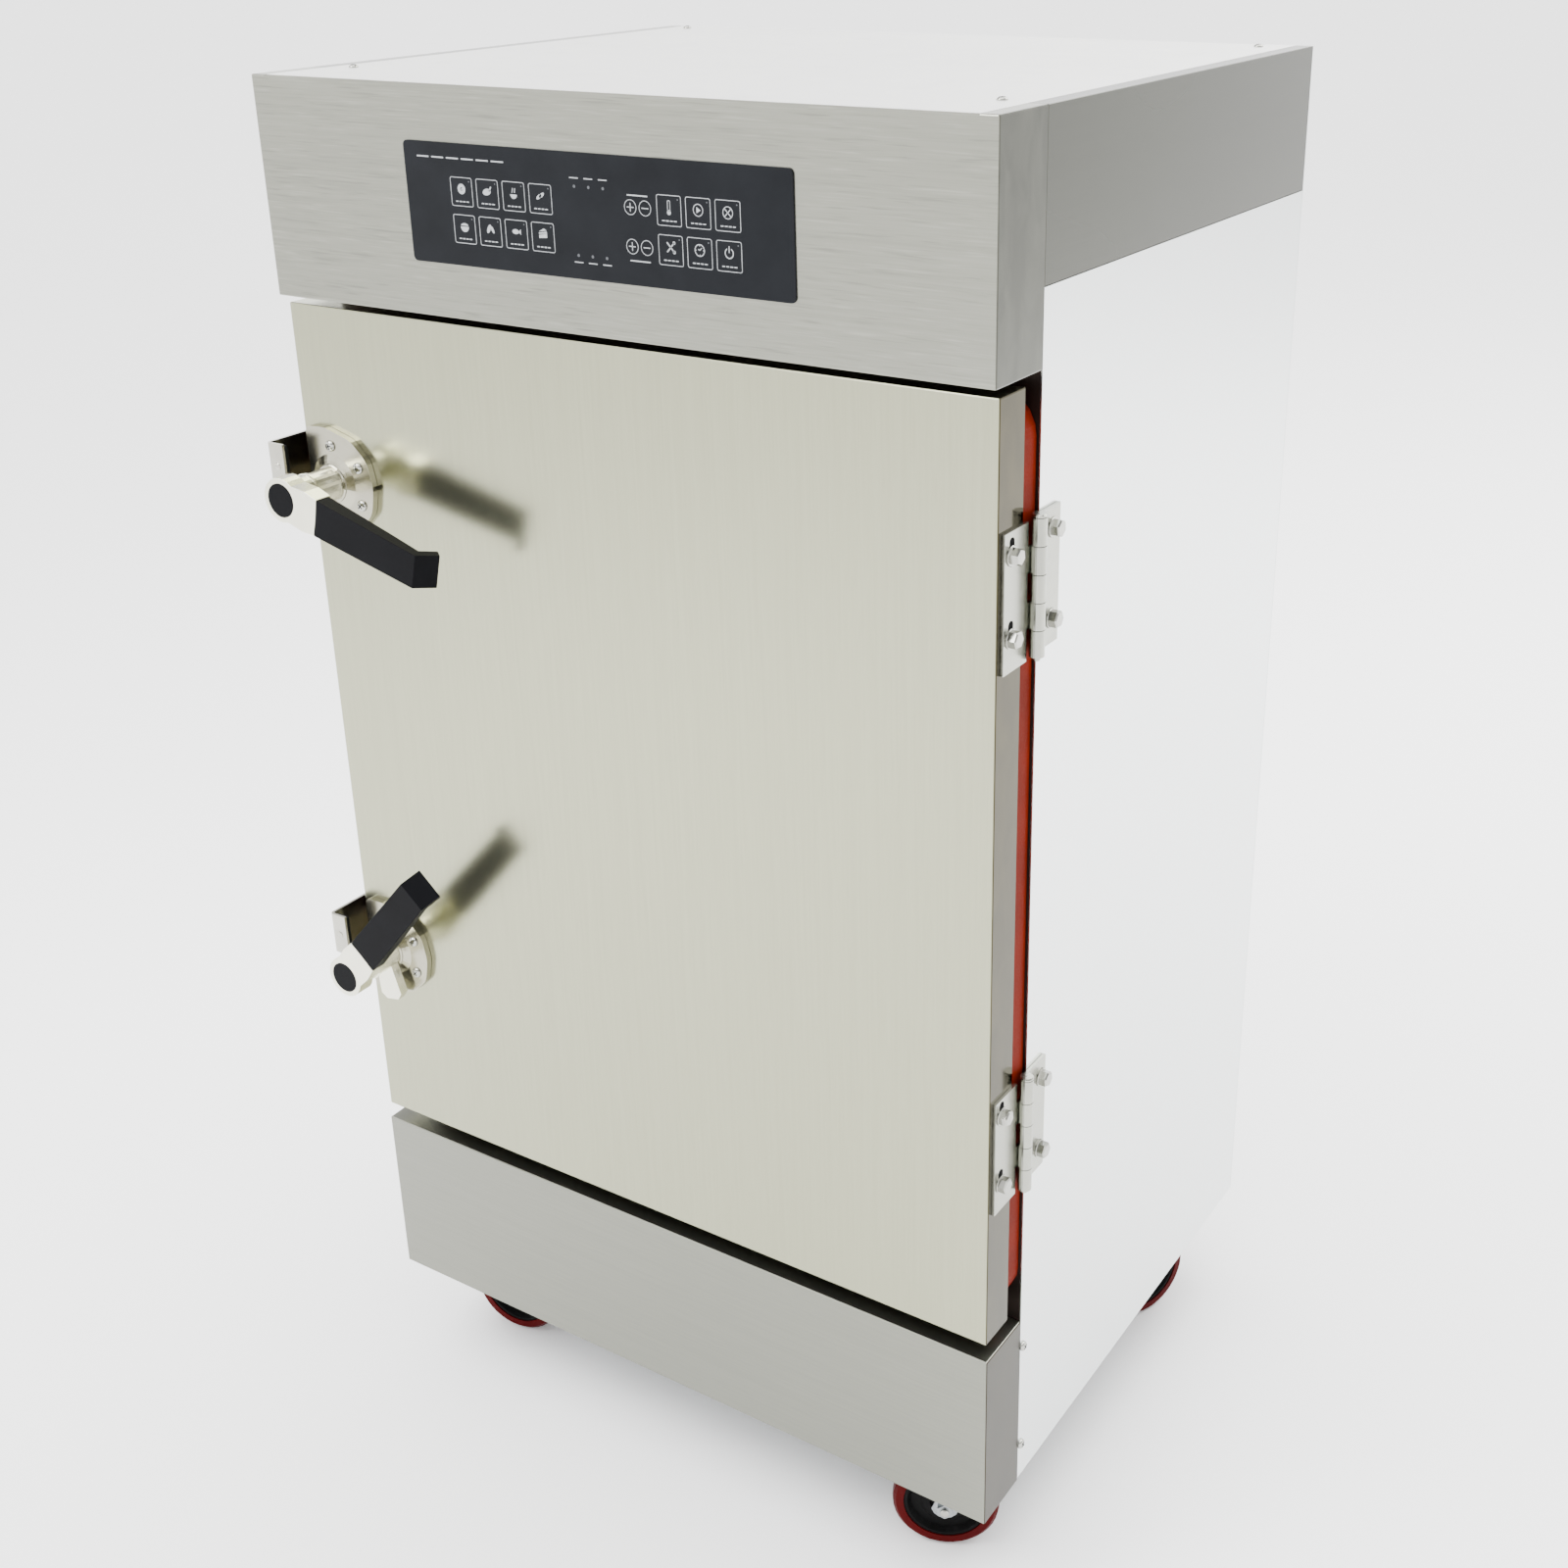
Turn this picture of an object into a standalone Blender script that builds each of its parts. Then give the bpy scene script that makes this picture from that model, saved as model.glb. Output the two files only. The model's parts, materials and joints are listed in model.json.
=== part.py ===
"""Electric steam cabinet on casters.

A stainless cabinet with an insulated steam chamber, one full-height door on
two five-knuckle hinges, two compression latches, a touch panel in the header
and four swivel casters.  Units are metres, +Z is up and the door faces -Y.
The origin lies on the floor, under the middle of the whole object.
"""

import math

import bmesh
import bpy
from mathutils import Matrix, Vector

# --- Driving dimensions -------------------------------------------------
WIDTH = 0.700                    # outer width of the sheet-metal body
HEIGHT = 1.318                   # floor to top cover
FRONT = -0.2828                  # y of the fascia's front face
BODY_FRONT = FRONT + 0.0688      # y of the body's front plane, behind the door
BACK = FRONT + 0.5736            # y of the back panel's outer face
SHEET = 0.0012                   # outer and liner sheet thickness
GAP = 0.0003                     # clearance between touching pieces
BEND = 0.0012                    # outer radius of a folded edge

HALF = WIDTH / 2
FASCIA_BOTTOM = 1.136
HEADER_BOTTOM = 1.195
BODY_BOTTOM = 0.108
KICK_TOP = 0.2893
KICK_FRONT = FRONT + 0.0072
TOP_FLANGE = 0.015               # width of the side panels' top flanges

DOOR_HALF = 0.3484
DOOR_BOTTOM = 0.306
DOOR_TOP = 1.1288
DOOR_FRONT = FRONT + 0.0086
DOOR_DEPTH = 0.0378
DOOR_BACK = DOOR_FRONT + DOOR_DEPTH
DOOR_BLANKET = 0.024             # thickness of the insulation in the door

OPENING_HALF = 0.304             # half width of the chamber's mouth
OPENING_BOTTOM = 0.345
OPENING_TOP = 1.090
OPENING_RADIUS = 0.030
GASKET_HALF = 0.3465
GASKET_BOTTOM = 0.313
GASKET_TOP = 1.122
GASKET_WIDTH = 0.020

CHAMBER_HALF = 0.3072            # outer half width of the chamber liner
CHAMBER_TOP = 1.108
CHAMBER_BACK = FRONT + 0.530
PAN_BOTTOM = 0.165
PAN_TOP = 0.2982
WRAP = 0.031                     # thickness of the chamber's insulation

RACK_LEDGES = 8
RACK_FIRST = 0.372
RACK_PITCH = 0.088
LEDGE = 0.0225
RACK_DEPTH = (FRONT + 0.100, FRONT + 0.500)

HINGE_AXIS = (HALF + 0.0063, FRONT + 0.0575)
HINGE_HEIGHTS = {"upper": 0.9775, "lower": 0.4960}
HINGE_LENGTH = 0.109
KNUCKLES = 5
KNUCKLE_RADIUS = 0.006
PIN_RADIUS = 0.0028
LEAF = 0.0025

LATCH_X = -0.312
LATCH_HEIGHTS = {"upper": 0.974, "lower": 0.5012}
LEVER_ANGLES = {"upper": -14.0, "lower": 48.1}
LEVER_LENGTH = 0.169
TONGUE_ANGLE = -127.0            # from the lever, seen from the front
KEEPER_HEIGHT = 0.042
KEEPER_TOP = 0.034               # above the latch axis

OVERLAY = (-0.1839, 0.1878, 1.1801, 1.2745)

CASTER_X = 0.305
CASTER_Y = {"front": FRONT + 0.0886, "rear": FRONT + 0.4985}
CASTER_ANGLES = {"front_left": 8.0, "front_right": 206.0, "rear_left": 110.0, "rear_right": 248.0}
CASTER_HEIGHT = 0.128
CASTER_TRAIL = 0.035
WHEEL_RADIUS = 0.0508
WHEEL_WIDTH = 0.032

DRAIN = (-0.100, 0.182)          # x and z of the drain valve
INLET = (-0.220, 0.240)
VENT = (0.150, 1.050)
GLAND = (0.250, 1.245)

# --- Finishes: colour, roughness, metallic ------------------------------
FINISHES = {
    "brushed_steel": ((0.62, 0.61, 0.58), 0.35, 1.0),
    "bright_steel": ((0.80, 0.81, 0.82), 0.25, 1.0),
    "cast_nickel": ((0.70, 0.68, 0.63), 0.30, 1.0),
    "zinc": ((0.66, 0.68, 0.70), 0.35, 1.0),
    "black_grip": ((0.03, 0.03, 0.035), 0.55, 0.0),
    "silicone": ((0.75, 0.16, 0.04), 0.60, 0.0),
    "red_tread": ((0.45, 0.02, 0.03), 0.45, 0.0),
    "wheel_black": ((0.02, 0.02, 0.02), 0.50, 0.0),
    "overlay": ((0.05, 0.055, 0.07), 0.40, 0.0),
    "mineral_wool": ((0.60, 0.55, 0.35), 0.90, 0.0),
    "circuit_board": ((0.05, 0.25, 0.12), 0.50, 0.0),
    "brass": ((0.75, 0.58, 0.28), 0.30, 1.0),
    "handle_red": ((0.60, 0.04, 0.03), 0.45, 0.0),
}

ROUND = 32                       # sides of a turned piece


def fresh_collections():
    """Empty the scene and return the collections for parts and for cutters."""
    for obj in list(bpy.data.objects):
        bpy.data.objects.remove(obj, do_unlink=True)
    made = []
    for name in ("steam_cabinet", "cutters"):
        group = bpy.data.collections.new(name)
        bpy.context.scene.collection.children.link(group)
        made.append(group)
    return made


PARTS, CUTTERS = fresh_collections()


def material(name, finish):
    """A Principled material for one part."""
    colour, roughness, metallic = FINISHES[finish]
    mat = bpy.data.materials.new(name)
    mat.use_nodes = True
    shader = mat.node_tree.nodes["Principled BSDF"]
    shader.inputs["Base Color"].default_value = (*colour, 1.0)
    shader.inputs["Roughness"].default_value = roughness
    shader.inputs["Metallic"].default_value = metallic
    return mat


def add_mesh(name, bm, finish=None, place=None):
    """Turn a bmesh into an object of the parts, or of the cutters where it has no finish."""
    mesh = bpy.data.meshes.new(name)
    bm.to_mesh(mesh)
    bm.free()
    obj = bpy.data.objects.new(name, mesh)
    if place is not None:
        obj.matrix_world = place
    if finish is None:
        CUTTERS.objects.link(obj)
        obj.hide_render = True
        obj.display_type = "WIRE"
    else:
        PARTS.objects.link(obj)
        mesh.materials.append(material(name, finish))
    return obj


def box_mesh(low, high):
    """A bmesh box between two corners."""
    bm = bmesh.new()
    bmesh.ops.create_cube(bm, size=1.0)
    size = [h - l for l, h in zip(low, high)]
    middle = [(h + l) / 2 for l, h in zip(low, high)]
    bmesh.ops.scale(bm, vec=size, verts=bm.verts)
    bmesh.ops.translate(bm, vec=middle, verts=bm.verts)
    return bm


def box(name, low, high, finish=None):
    """A plain rectangular solid."""
    return add_mesh(name, box_mesh(low, high), finish)


def drop_faces(bm, directions):
    """Delete the faces of a box that look along the given directions."""
    gone = [f for f in bm.faces if any(f.normal.dot(Vector(d)) > 0.9 for d in directions)]
    bmesh.ops.delete(bm, geom=gone, context="FACES")


def add_bevel(obj, width, segments=2):
    """Round the sharp edges of an object."""
    bevel = obj.modifiers.new("rounded edges", "BEVEL")
    bevel.width = width
    bevel.segments = segments
    bevel.limit_method = "ANGLE"
    bevel.angle_limit = math.radians(40)
    return bevel


def thicken(obj, thickness):
    """Give an open surface its sheet thickness, inwards."""
    shell = obj.modifiers.new("sheet", "SOLIDIFY")
    shell.thickness = thickness
    shell.offset = -1.0
    shell.use_even_offset = True


def pan(name, low, high, open_sides, finish, thickness=SHEET, bend=BEND):
    """A folded sheet-metal box that is open on the given sides."""
    bm = box_mesh(low, high)
    drop_faces(bm, open_sides)
    obj = add_mesh(name, bm, finish)
    if bend:
        add_bevel(obj, bend)
    thicken(obj, thickness)
    return obj


def arc(centre, radius, start, end, steps):
    """Points of an arc, from one angle to the other in degrees."""
    points = []
    for i in range(steps + 1):
        angle = math.radians(start + (end - start) * i / steps)
        points.append((centre[0] + radius * math.cos(angle), centre[1] + radius * math.sin(angle)))
    return points


def rounded(corners, radius, steps=4, closed=True):
    """A polygon or polyline with its corners rounded; radius may be one number or a list."""
    count = len(corners)
    radii = radius if isinstance(radius, (list, tuple)) else [radius] * count
    points = []
    for i, corner in enumerate(corners):
        here = Vector(corner)
        if radii[i] <= 0 or (not closed and i in (0, count - 1)):
            points.append(tuple(here))
            continue
        before = (Vector(corners[i - 1]) - here).normalized()
        after = (Vector(corners[(i + 1) % count]) - here).normalized()
        half = before.angle(after) / 2
        reach = radii[i] / math.tan(half)
        centre = here + (before + after).normalized() * radii[i] / math.sin(half)
        first = here + before * reach - centre
        last = here + after * reach - centre
        for k in range(steps + 1):
            swing = first.lerp(last, k / steps)
            points.append(tuple(centre + swing.normalized() * radii[i]))
    return points


def rectangle(x0, x1, y0, y1):
    """Corners of a rectangle, counter-clockwise."""
    return [(x0, y0), (x1, y0), (x1, y1), (x0, y1)]


def circle(x, y, radius, sides=ROUND):
    """Points of a circle."""
    return arc((x, y), radius, 0, 360, sides)[:-1]


def plate(name, outlines, low, high, finish=None, place=None):
    """A flat outline, with any holes as further outlines, extruded from low to high."""
    curve = bpy.data.curves.new(name, "CURVE")
    curve.dimensions = "2D"
    curve.fill_mode = "BOTH"
    curve.extrude = (high - low) / 2
    for outline in outlines:
        spline = curve.splines.new("POLY")
        spline.points.add(len(outline) - 1)
        for point, (x, y) in zip(spline.points, outline):
            point.co = (x, y, 0.0, 1.0)
        spline.use_cyclic_u = True
    obj = bpy.data.objects.new(name + " outline", curve)
    PARTS.objects.link(obj)
    bm = curve_mesh(obj)
    bmesh.ops.translate(bm, vec=(0, 0, (high + low) / 2), verts=bm.verts)
    return add_mesh(name, bm, finish, place)


def curve_mesh(obj):
    """Take a curve object's evaluated shape as a welded bmesh, and remove the curve."""
    bpy.context.view_layer.update()
    graph = bpy.context.evaluated_depsgraph_get()
    mesh = bpy.data.meshes.new_from_object(obj.evaluated_get(graph))
    bm = bmesh.new()
    bm.from_mesh(mesh)
    bmesh.ops.remove_doubles(bm, verts=bm.verts, dist=0.00001)
    bmesh.ops.recalc_face_normals(bm, faces=bm.faces)
    bpy.data.meshes.remove(mesh)
    bpy.data.objects.remove(obj, do_unlink=True)
    return bm


def tube(name, points, radius, finish=None):
    """A round rod along a polyline."""
    curve = bpy.data.curves.new(name, "CURVE")
    curve.dimensions = "3D"
    curve.bevel_depth = radius
    curve.bevel_resolution = 2
    curve.use_fill_caps = True
    spline = curve.splines.new("POLY")
    spline.points.add(len(points) - 1)
    for point, co in zip(spline.points, points):
        point.co = (*co, 1.0)
    obj = bpy.data.objects.new(name + " path", curve)
    PARTS.objects.link(obj)
    return add_mesh(name, curve_mesh(obj), finish)


def turned(name, profile, finish=None, place=None, sides=ROUND):
    """A solid of revolution about local Z from a closed (radius, height) profile, top to bottom."""
    bm = bmesh.new()
    verts = [bm.verts.new((r, 0.0, z)) for r, z in profile]
    for a, b in zip(verts, verts[1:]):
        bm.edges.new((a, b))
    if profile[0][0] > 0:
        bm.edges.new((verts[-1], verts[0]))
    obj = add_mesh(name, bm, finish, place)
    screw = obj.modifiers.new("turned", "SCREW")
    screw.axis = "Z"
    screw.steps = sides
    screw.render_steps = sides
    screw.use_merge_vertices = True
    screw.merge_threshold = 0.00001
    screw.use_smooth_shade = False
    return obj


def rod(name, radius, low, high, finish=None, place=None, sides=ROUND):
    """A cylinder along local Z."""
    bm = bmesh.new()
    bmesh.ops.create_cone(
        bm, cap_ends=True, segments=sides, radius1=radius, radius2=radius, depth=high - low
    )
    bmesh.ops.translate(bm, vec=(0, 0, (high + low) / 2), verts=bm.verts)
    return add_mesh(name, bm, finish, place)


def combine(target, tools, operation):
    """Join tools to a target, or cut them from it, with Boolean modifiers."""
    for tool in tools:
        boolean = target.modifiers.new(tool.name, "BOOLEAN")
        boolean.operation = operation
        boolean.solver = "EXACT"
        boolean.object = tool
    return target


def smooth(obj, angle=35):
    """Shade a round piece smooth, keeping its sharp edges."""
    obj.data.shade_smooth()
    obj.data.set_sharp_from_angle(angle=math.radians(angle))


def hang_on(joint, position, pieces):
    """Parent pieces to an empty that stands on their joint's axis."""
    empty = bpy.data.objects.new(joint, None)
    empty.location = position
    PARTS.objects.link(empty)
    bpy.context.view_layer.update()
    for piece in pieces:
        piece.parent = empty
        piece.matrix_parent_inverse = empty.matrix_world.inverted()
    return empty


def facing_front(x, y, z, turn=0.0):
    """Local XY becomes the front plane, local +Z points to -Y, turned counter-clockwise in view."""
    upright = Matrix.Rotation(math.radians(90), 4, "X")
    return Matrix.Translation((x, y, z)) @ upright @ Matrix.Rotation(math.radians(turn), 4, "Z")


def facing_side(x, y, z):
    """Local XY becomes the YZ plane and local +Z points to +X."""
    turn = Matrix(((0, 0, 1, 0), (1, 0, 0, 0), (0, 1, 0, 0), (0, 0, 0, 1)))
    return Matrix.Translation((x, y, z)) @ turn


def facing_back(x, y, z):
    """Local +Z points to +Y, for fittings in the back panel."""
    return Matrix.Translation((x, y, z)) @ Matrix.Rotation(math.radians(-90), 4, "X")


# --- Body ----------------------------------------------------------------
def make_shell():
    """Outer sheet-metal panels, fascia and kick panel."""
    back_in = BACK - SHEET - GAP
    inner = HALF - SHEET - GAP
    pan("base_frame", (-inner, FRONT + 0.009, 0.110), (inner, back_in, 0.1295), [(0, 0, -1)],
        "zinc")
    for side, name in ((-1, "left"), (1, "right")):
        outer = side * HALF
        inside = side * (HALF - SHEET)
        low, high = min(outer, inside), max(outer, inside)
        box(f"{name}_side_panel", (low, BODY_FRONT + GAP, 0.110),
            (high, back_in, HEADER_BOTTOM - GAP), "bright_steel")
        angle = [
            (outer, HEADER_BOTTOM), (outer, HEIGHT), (outer - side * TOP_FLANGE, HEIGHT),
            (outer - side * TOP_FLANGE, HEIGHT - SHEET), (inside, HEIGHT - SHEET),
            (inside, HEADER_BOTTOM),
        ]
        header = plate(f"{name}_header_panel", [angle], 0.0, back_in - BODY_FRONT - GAP,
                       "brushed_steel", facing_front(0, back_in, 0))
        add_bevel(header, 0.0005, 1)
    cover_half = HALF - TOP_FLANGE - 0.0006
    box("top_cover", (-cover_half, FRONT + SHEET + 0.0014, HEIGHT - SHEET),
        (cover_half, back_in, HEIGHT), "brushed_steel")
    back = box("back_panel", (-HALF, BACK - SHEET, 0.110), (HALF, BACK, HEIGHT), "bright_steel")
    make_fascia()
    pan("kick_panel", (-HALF, KICK_FRONT, BODY_BOTTOM), (HALF, BODY_FRONT, KICK_TOP),
        [(0, 1, 0), (0, 0, -1)], "brushed_steel")
    opening = rounded(rectangle(-OPENING_HALF, OPENING_HALF, OPENING_BOTTOM, OPENING_TOP),
                      OPENING_RADIUS)
    edge = rectangle(-inner, inner, 0.1306, HEADER_BOTTOM - GAP)
    plate("front_frame", [edge, opening], 0.0, 0.0015, "brushed_steel",
          facing_front(0, BODY_FRONT + GAP + 0.0015, 0))
    return back


def make_fascia():
    """Header box: front face, side returns, bottom lip and two top flanges."""
    bm = box_mesh((-HALF, FRONT, FASCIA_BOTTOM), (HALF, BODY_FRONT, HEIGHT))
    drop_faces(bm, [(0, 1, 0)])
    for x in (-HALF + TOP_FLANGE, HALF - TOP_FLANGE):
        cut = bm.verts[:] + bm.edges[:] + bm.faces[:]
        bmesh.ops.bisect_plane(bm, geom=cut, plane_co=(x, 0, 0), plane_no=(1, 0, 0), dist=1e-6)
    middle = [
        f for f in bm.faces
        if f.normal.z > 0.9 and abs(f.calc_center_median().x) < HALF - TOP_FLANGE
    ]
    bmesh.ops.delete(bm, geom=middle, context="FACES")
    fascia = add_mesh("fascia", bm, "brushed_steel")
    add_bevel(fascia, BEND)
    thicken(fascia, SHEET)


def make_chamber():
    """Steam chamber: liner, insulation, racks, water pan, element and steam plate."""
    start = BODY_FRONT + 0.0021
    side = CHAMBER_HALF
    liner = pan("chamber_liner", (-side, start, PAN_TOP + GAP), (side, CHAMBER_BACK, CHAMBER_TOP),
                [(0, -1, 0), (0, 0, -1)], "bright_steel")
    reach = WRAP + GAP
    wrap = pan("insulation_wrap", (-side - reach, start, PAN_TOP + GAP),
               (side + reach, CHAMBER_BACK + reach, CHAMBER_TOP + reach),
               [(0, -1, 0), (0, 0, -1)], "mineral_wool", thickness=WRAP, bend=0.0)
    basin = pan("water_pan", (-side, start, PAN_BOTTOM), (side, CHAMBER_BACK, PAN_TOP),
                [(0, 0, 1)], "bright_steel", bend=0.004)
    holes = [
        circle(-0.24 + 0.12 * i, FRONT + 0.12 + 0.09 * j, 0.010, 10)
        for i in range(5) for j in range(5)
    ]
    steam_edge = rectangle(-side + 0.0018, side - 0.0018, start + GAP, CHAMBER_BACK - 0.0018)
    plate("steam_plate", [steam_edge, *holes], 0.3000, 0.3012, "bright_steel")
    for sign, name in ((-1, "left"), (1, "right")):
        make_rack(name, sign)
    make_element(basin)
    return liner, wrap, basin


def make_rack(name, sign):
    """One side's pressed rack: a strip with ledges for the trays."""
    wall = CHAMBER_HALF - SHEET - GAP
    tip = wall - LEDGE
    strip = wall - SHEET
    low = OPENING_BOTTOM
    high = RACK_FIRST + RACK_LEDGES * RACK_PITCH
    outline = [(wall, low), (wall, high), (strip, high)]
    for i in reversed(range(RACK_LEDGES)):
        z = RACK_FIRST + i * RACK_PITCH
        outline += [(strip, z + SHEET), (tip, z + SHEET), (tip, z), (strip, z)]
    outline.append((strip, low))
    outline = [(sign * x, z) for x, z in outline]
    plate(f"{name}_tray_rack", [outline], 0.0, RACK_DEPTH[1] - RACK_DEPTH[0], "bright_steel",
          facing_front(0, RACK_DEPTH[1], 0))


def make_element(basin):
    """Looped heating element whose two legs pass through the pan's back wall to a flange."""
    height = 0.195
    leg = 0.020
    ends = FRONT + 0.536
    half = [
        (leg, ends), (leg, FRONT + 0.470), (0.220, FRONT + 0.470), (0.220, FRONT + 0.130),
        (0.080, FRONT + 0.130), (0.080, FRONT + 0.400),
    ]
    route = half + [(-x, y) for x, y in reversed(half)]
    path = rounded(route, 0.018, steps=4, closed=False)
    element = tube("heating_element", [(x, y, height) for x, y in path], 0.0042, "bright_steel")
    flange = rod("element flange", 0.032, 0.0, 0.008, None,
                 facing_back(0, CHAMBER_BACK + GAP, height))
    combine(element, [flange], "UNION")
    mouth = rod("element mouth", 0.027, -0.010, 0.006, None,
                facing_back(0, CHAMBER_BACK, height))
    combine(basin, [mouth], "DIFFERENCE")


def make_services(back, liner, wrap, basin):
    """Fittings in the back panel: drain valve, water inlet, steam vent and power gland."""
    y = CHAMBER_BACK
    out = BACK - y
    drain = turned("drain_valve", [
        (0.0070, out + 0.055), (0.0105, out + 0.055), (0.0105, out + 0.040),
        (0.0140, out + 0.038), (0.0180, out + 0.032), (0.0180, out + 0.016),
        (0.0140, out + 0.010), (0.0105, out + 0.008), (0.0105, -0.008), (0.0070, -0.008),
    ], "brass", facing_back(DRAIN[0], y, DRAIN[1]))
    stem_y = BACK + 0.024
    stem = rod("drain stem", 0.006, 0.012, 0.026, None,
               Matrix.Translation((DRAIN[0], stem_y, DRAIN[1])))
    combine(drain, [stem], "UNION")
    grip = rounded([(-0.011, -0.009), (0.020, -0.009), (0.028, -0.006), (0.088, -0.007),
                    (0.088, 0.007), (0.028, 0.006), (0.020, 0.009), (-0.011, 0.009)],
                   [0.006, 0.004, 0.004, 0.006, 0.006, 0.004, 0.004, 0.006], 3)
    handle = plate("drain_handle", [grip], 0.0, 0.004, "handle_red",
                   Matrix.Translation((DRAIN[0], stem_y, DRAIN[1] + 0.026 + GAP)))
    hang_on("drain_axis", (DRAIN[0], stem_y, DRAIN[1]), [handle])
    turned("water_inlet", [
        (0.0060, out + 0.030), (0.0100, out + 0.030), (0.0100, out + 0.010),
        (0.0150, out + 0.010), (0.0150, out + GAP), (0.0100, out + GAP),
        (0.0100, -0.008), (0.0060, -0.008),
    ], "brass", facing_back(INLET[0], y, INLET[1]))
    turned("steam_vent", [
        (0.0105, out + 0.034), (0.0125, out + 0.034), (0.0125, out + 0.002),
        (0.0220, out + 0.002), (0.0220, out + GAP), (0.0125, out + GAP),
        (0.0125, -0.004), (0.0105, -0.004),
    ], "bright_steel", facing_back(VENT[0], y, VENT[1]))
    turned("power_gland", [
        (0.0055, out + 0.026), (0.0095, out + 0.026), (0.0130, out + 0.018),
        (0.0130, out + 0.006), (0.0160, out + 0.006), (0.0160, out + GAP),
        (0.0110, out + GAP), (0.0110, out - 0.012), (0.0055, out - 0.012),
    ], "black_grip", facing_back(GLAND[0], y, GLAND[1]))
    bores = {
        "drain": (DRAIN, 0.0110, [back, basin]),
        "inlet": (INLET, 0.0105, [back, basin]),
        "vent": (VENT, 0.0130, [back, liner, wrap]),
        "gland": (GLAND, 0.0115, [back]),
    }
    for name, ((x, z), radius, walls) in bores.items():
        cutter = rod(f"{name} bore", radius, -0.020, out + 0.010, None, facing_back(x, y, z))
        for wall in walls:
            combine(wall, [cutter], "DIFFERENCE")


def make_controls():
    """Touch overlay on the fascia and the board behind it."""
    x0, x1, z0, z1 = OVERLAY
    plate("control_overlay", [rounded(rectangle(x0, x1, z0, z1), 0.004)], 0.0, 0.0010,
          "overlay", facing_front(0, FRONT - GAP, 0))
    board = rounded(rectangle(x0 + 0.012, x1 - 0.012, z0 + 0.008, z1 - 0.008), 0.003)
    plate("control_board", [board], 0.0, 0.0016, "circuit_board",
          facing_front(0, FRONT + 0.014, 0))


# --- Door ----------------------------------------------------------------
def make_door():
    """Door shell, insulation, inner panel and gasket."""
    shell = pan("door_shell", (-DOOR_HALF, DOOR_FRONT, DOOR_BOTTOM),
                (DOOR_HALF, DOOR_BACK, DOOR_TOP), [(0, 1, 0)], "brushed_steel")
    edge = SHEET + GAP
    wool = box("door_insulation", (-DOOR_HALF + edge, DOOR_FRONT + edge, DOOR_BOTTOM + edge),
               (DOOR_HALF - edge, DOOR_FRONT + edge + DOOR_BLANKET, DOOR_TOP - edge),
               "mineral_wool")
    inner = make_inner_panel(edge)
    outer = rounded(rectangle(-GASKET_HALF, GASKET_HALF, GASKET_BOTTOM, GASKET_TOP), 0.034, 5)
    width = GASKET_WIDTH
    hole = rounded(rectangle(-GASKET_HALF + width, GASKET_HALF - width,
                             GASKET_BOTTOM + width, GASKET_TOP - width), 0.014, 5)
    gasket = plate("door_gasket", [outer, hole], 0.0, BODY_FRONT - DOOR_BACK - 2 * GAP,
                   "silicone", facing_front(0, BODY_FRONT - GAP, 0))
    return [shell, wool, inner, gasket]


def make_inner_panel(edge):
    """Inner door skin: a flat rim around a raised middle with rounded corners."""
    rim_y = DOOR_BACK - SHEET
    half = DOOR_HALF - edge
    low, high = DOOR_BOTTOM + edge, DOOR_TOP - edge
    rim = 0.046
    outer = rounded(rectangle(-half, half, low, high), 0.003)
    inner = rounded(rectangle(-half + rim, half - rim, low + rim, high - rim), 0.020)
    bm = bmesh.new()
    loops = [
        [bm.verts.new((x, y, z)) for x, z in loop]
        for loop, y in ((outer, rim_y), (inner, rim_y), (inner, rim_y + 0.014))
    ]
    count = len(outer)
    for wide, narrow in zip(loops, loops[1:]):
        for i in range(count):
            k = (i + 1) % count
            bm.faces.new((narrow[i], narrow[k], wide[k], wide[i]))
    bm.faces.new(reversed(loops[-1]))
    panel = add_mesh("door_inner_panel", bm, "bright_steel")
    thicken(panel, 0.0010)
    return panel


# --- Hinges --------------------------------------------------------------
def make_hinge(name, height):
    """One hinge: a leaf on the body, a leaf on the door, and the pin through both."""
    ax, ay = HINGE_AXIS
    pitch = HINGE_LENGTH / KNUCKLES
    low = height - HINGE_LENGTH / 2
    bore = rod(f"{name} hinge bore", PIN_RADIUS + GAP, low - 0.01, low + HINGE_LENGTH + 0.01,
               None, Matrix.Translation((ax, ay, 0)), 24)
    leaves = []
    for side, first, back_x, edge, clear, shift in (
        ("body", 0, HALF + GAP, 0.0405, 0.0070, 0.0),
        ("door", 1, DOOR_HALF + GAP, -0.0430, -0.0070, -0.003),
    ):
        bands = [low + pitch * i for i in range(first, KNUCKLES, 2)]
        outline = leaf_outline(ay, low + shift, edge, clear, bands, pitch)
        leaf = plate(f"{name}_hinge_{side}_leaf", [outline], 0.0, LEAF, "cast_nickel",
                     facing_side(back_x, 0, 0))
        barrels = [
            rod(f"{name} {side} knuckle {i}", KNUCKLE_RADIUS, z + GAP, z + pitch - GAP, None,
                Matrix.Translation((ax, ay, 0)), 24)
            for i, z in enumerate(bands)
        ]
        combine(leaf, barrels, "UNION")
        combine(leaf, [bore], "DIFFERENCE")
        leaves.append(leaf)
    top = low + HINGE_LENGTH
    turned(f"{name}_hinge_pin", [
        (0.0, top + 0.0026), (0.0052, top + 0.0026), (0.0060, top + 0.0016),
        (0.0060, top + GAP), (PIN_RADIUS, top + GAP), (PIN_RADIUS, low - 0.0030),
        (0.0, low - 0.0030),
    ], "cast_nickel", Matrix.Translation((ax, ay, 0)), 24)
    return leaves[1]


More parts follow.
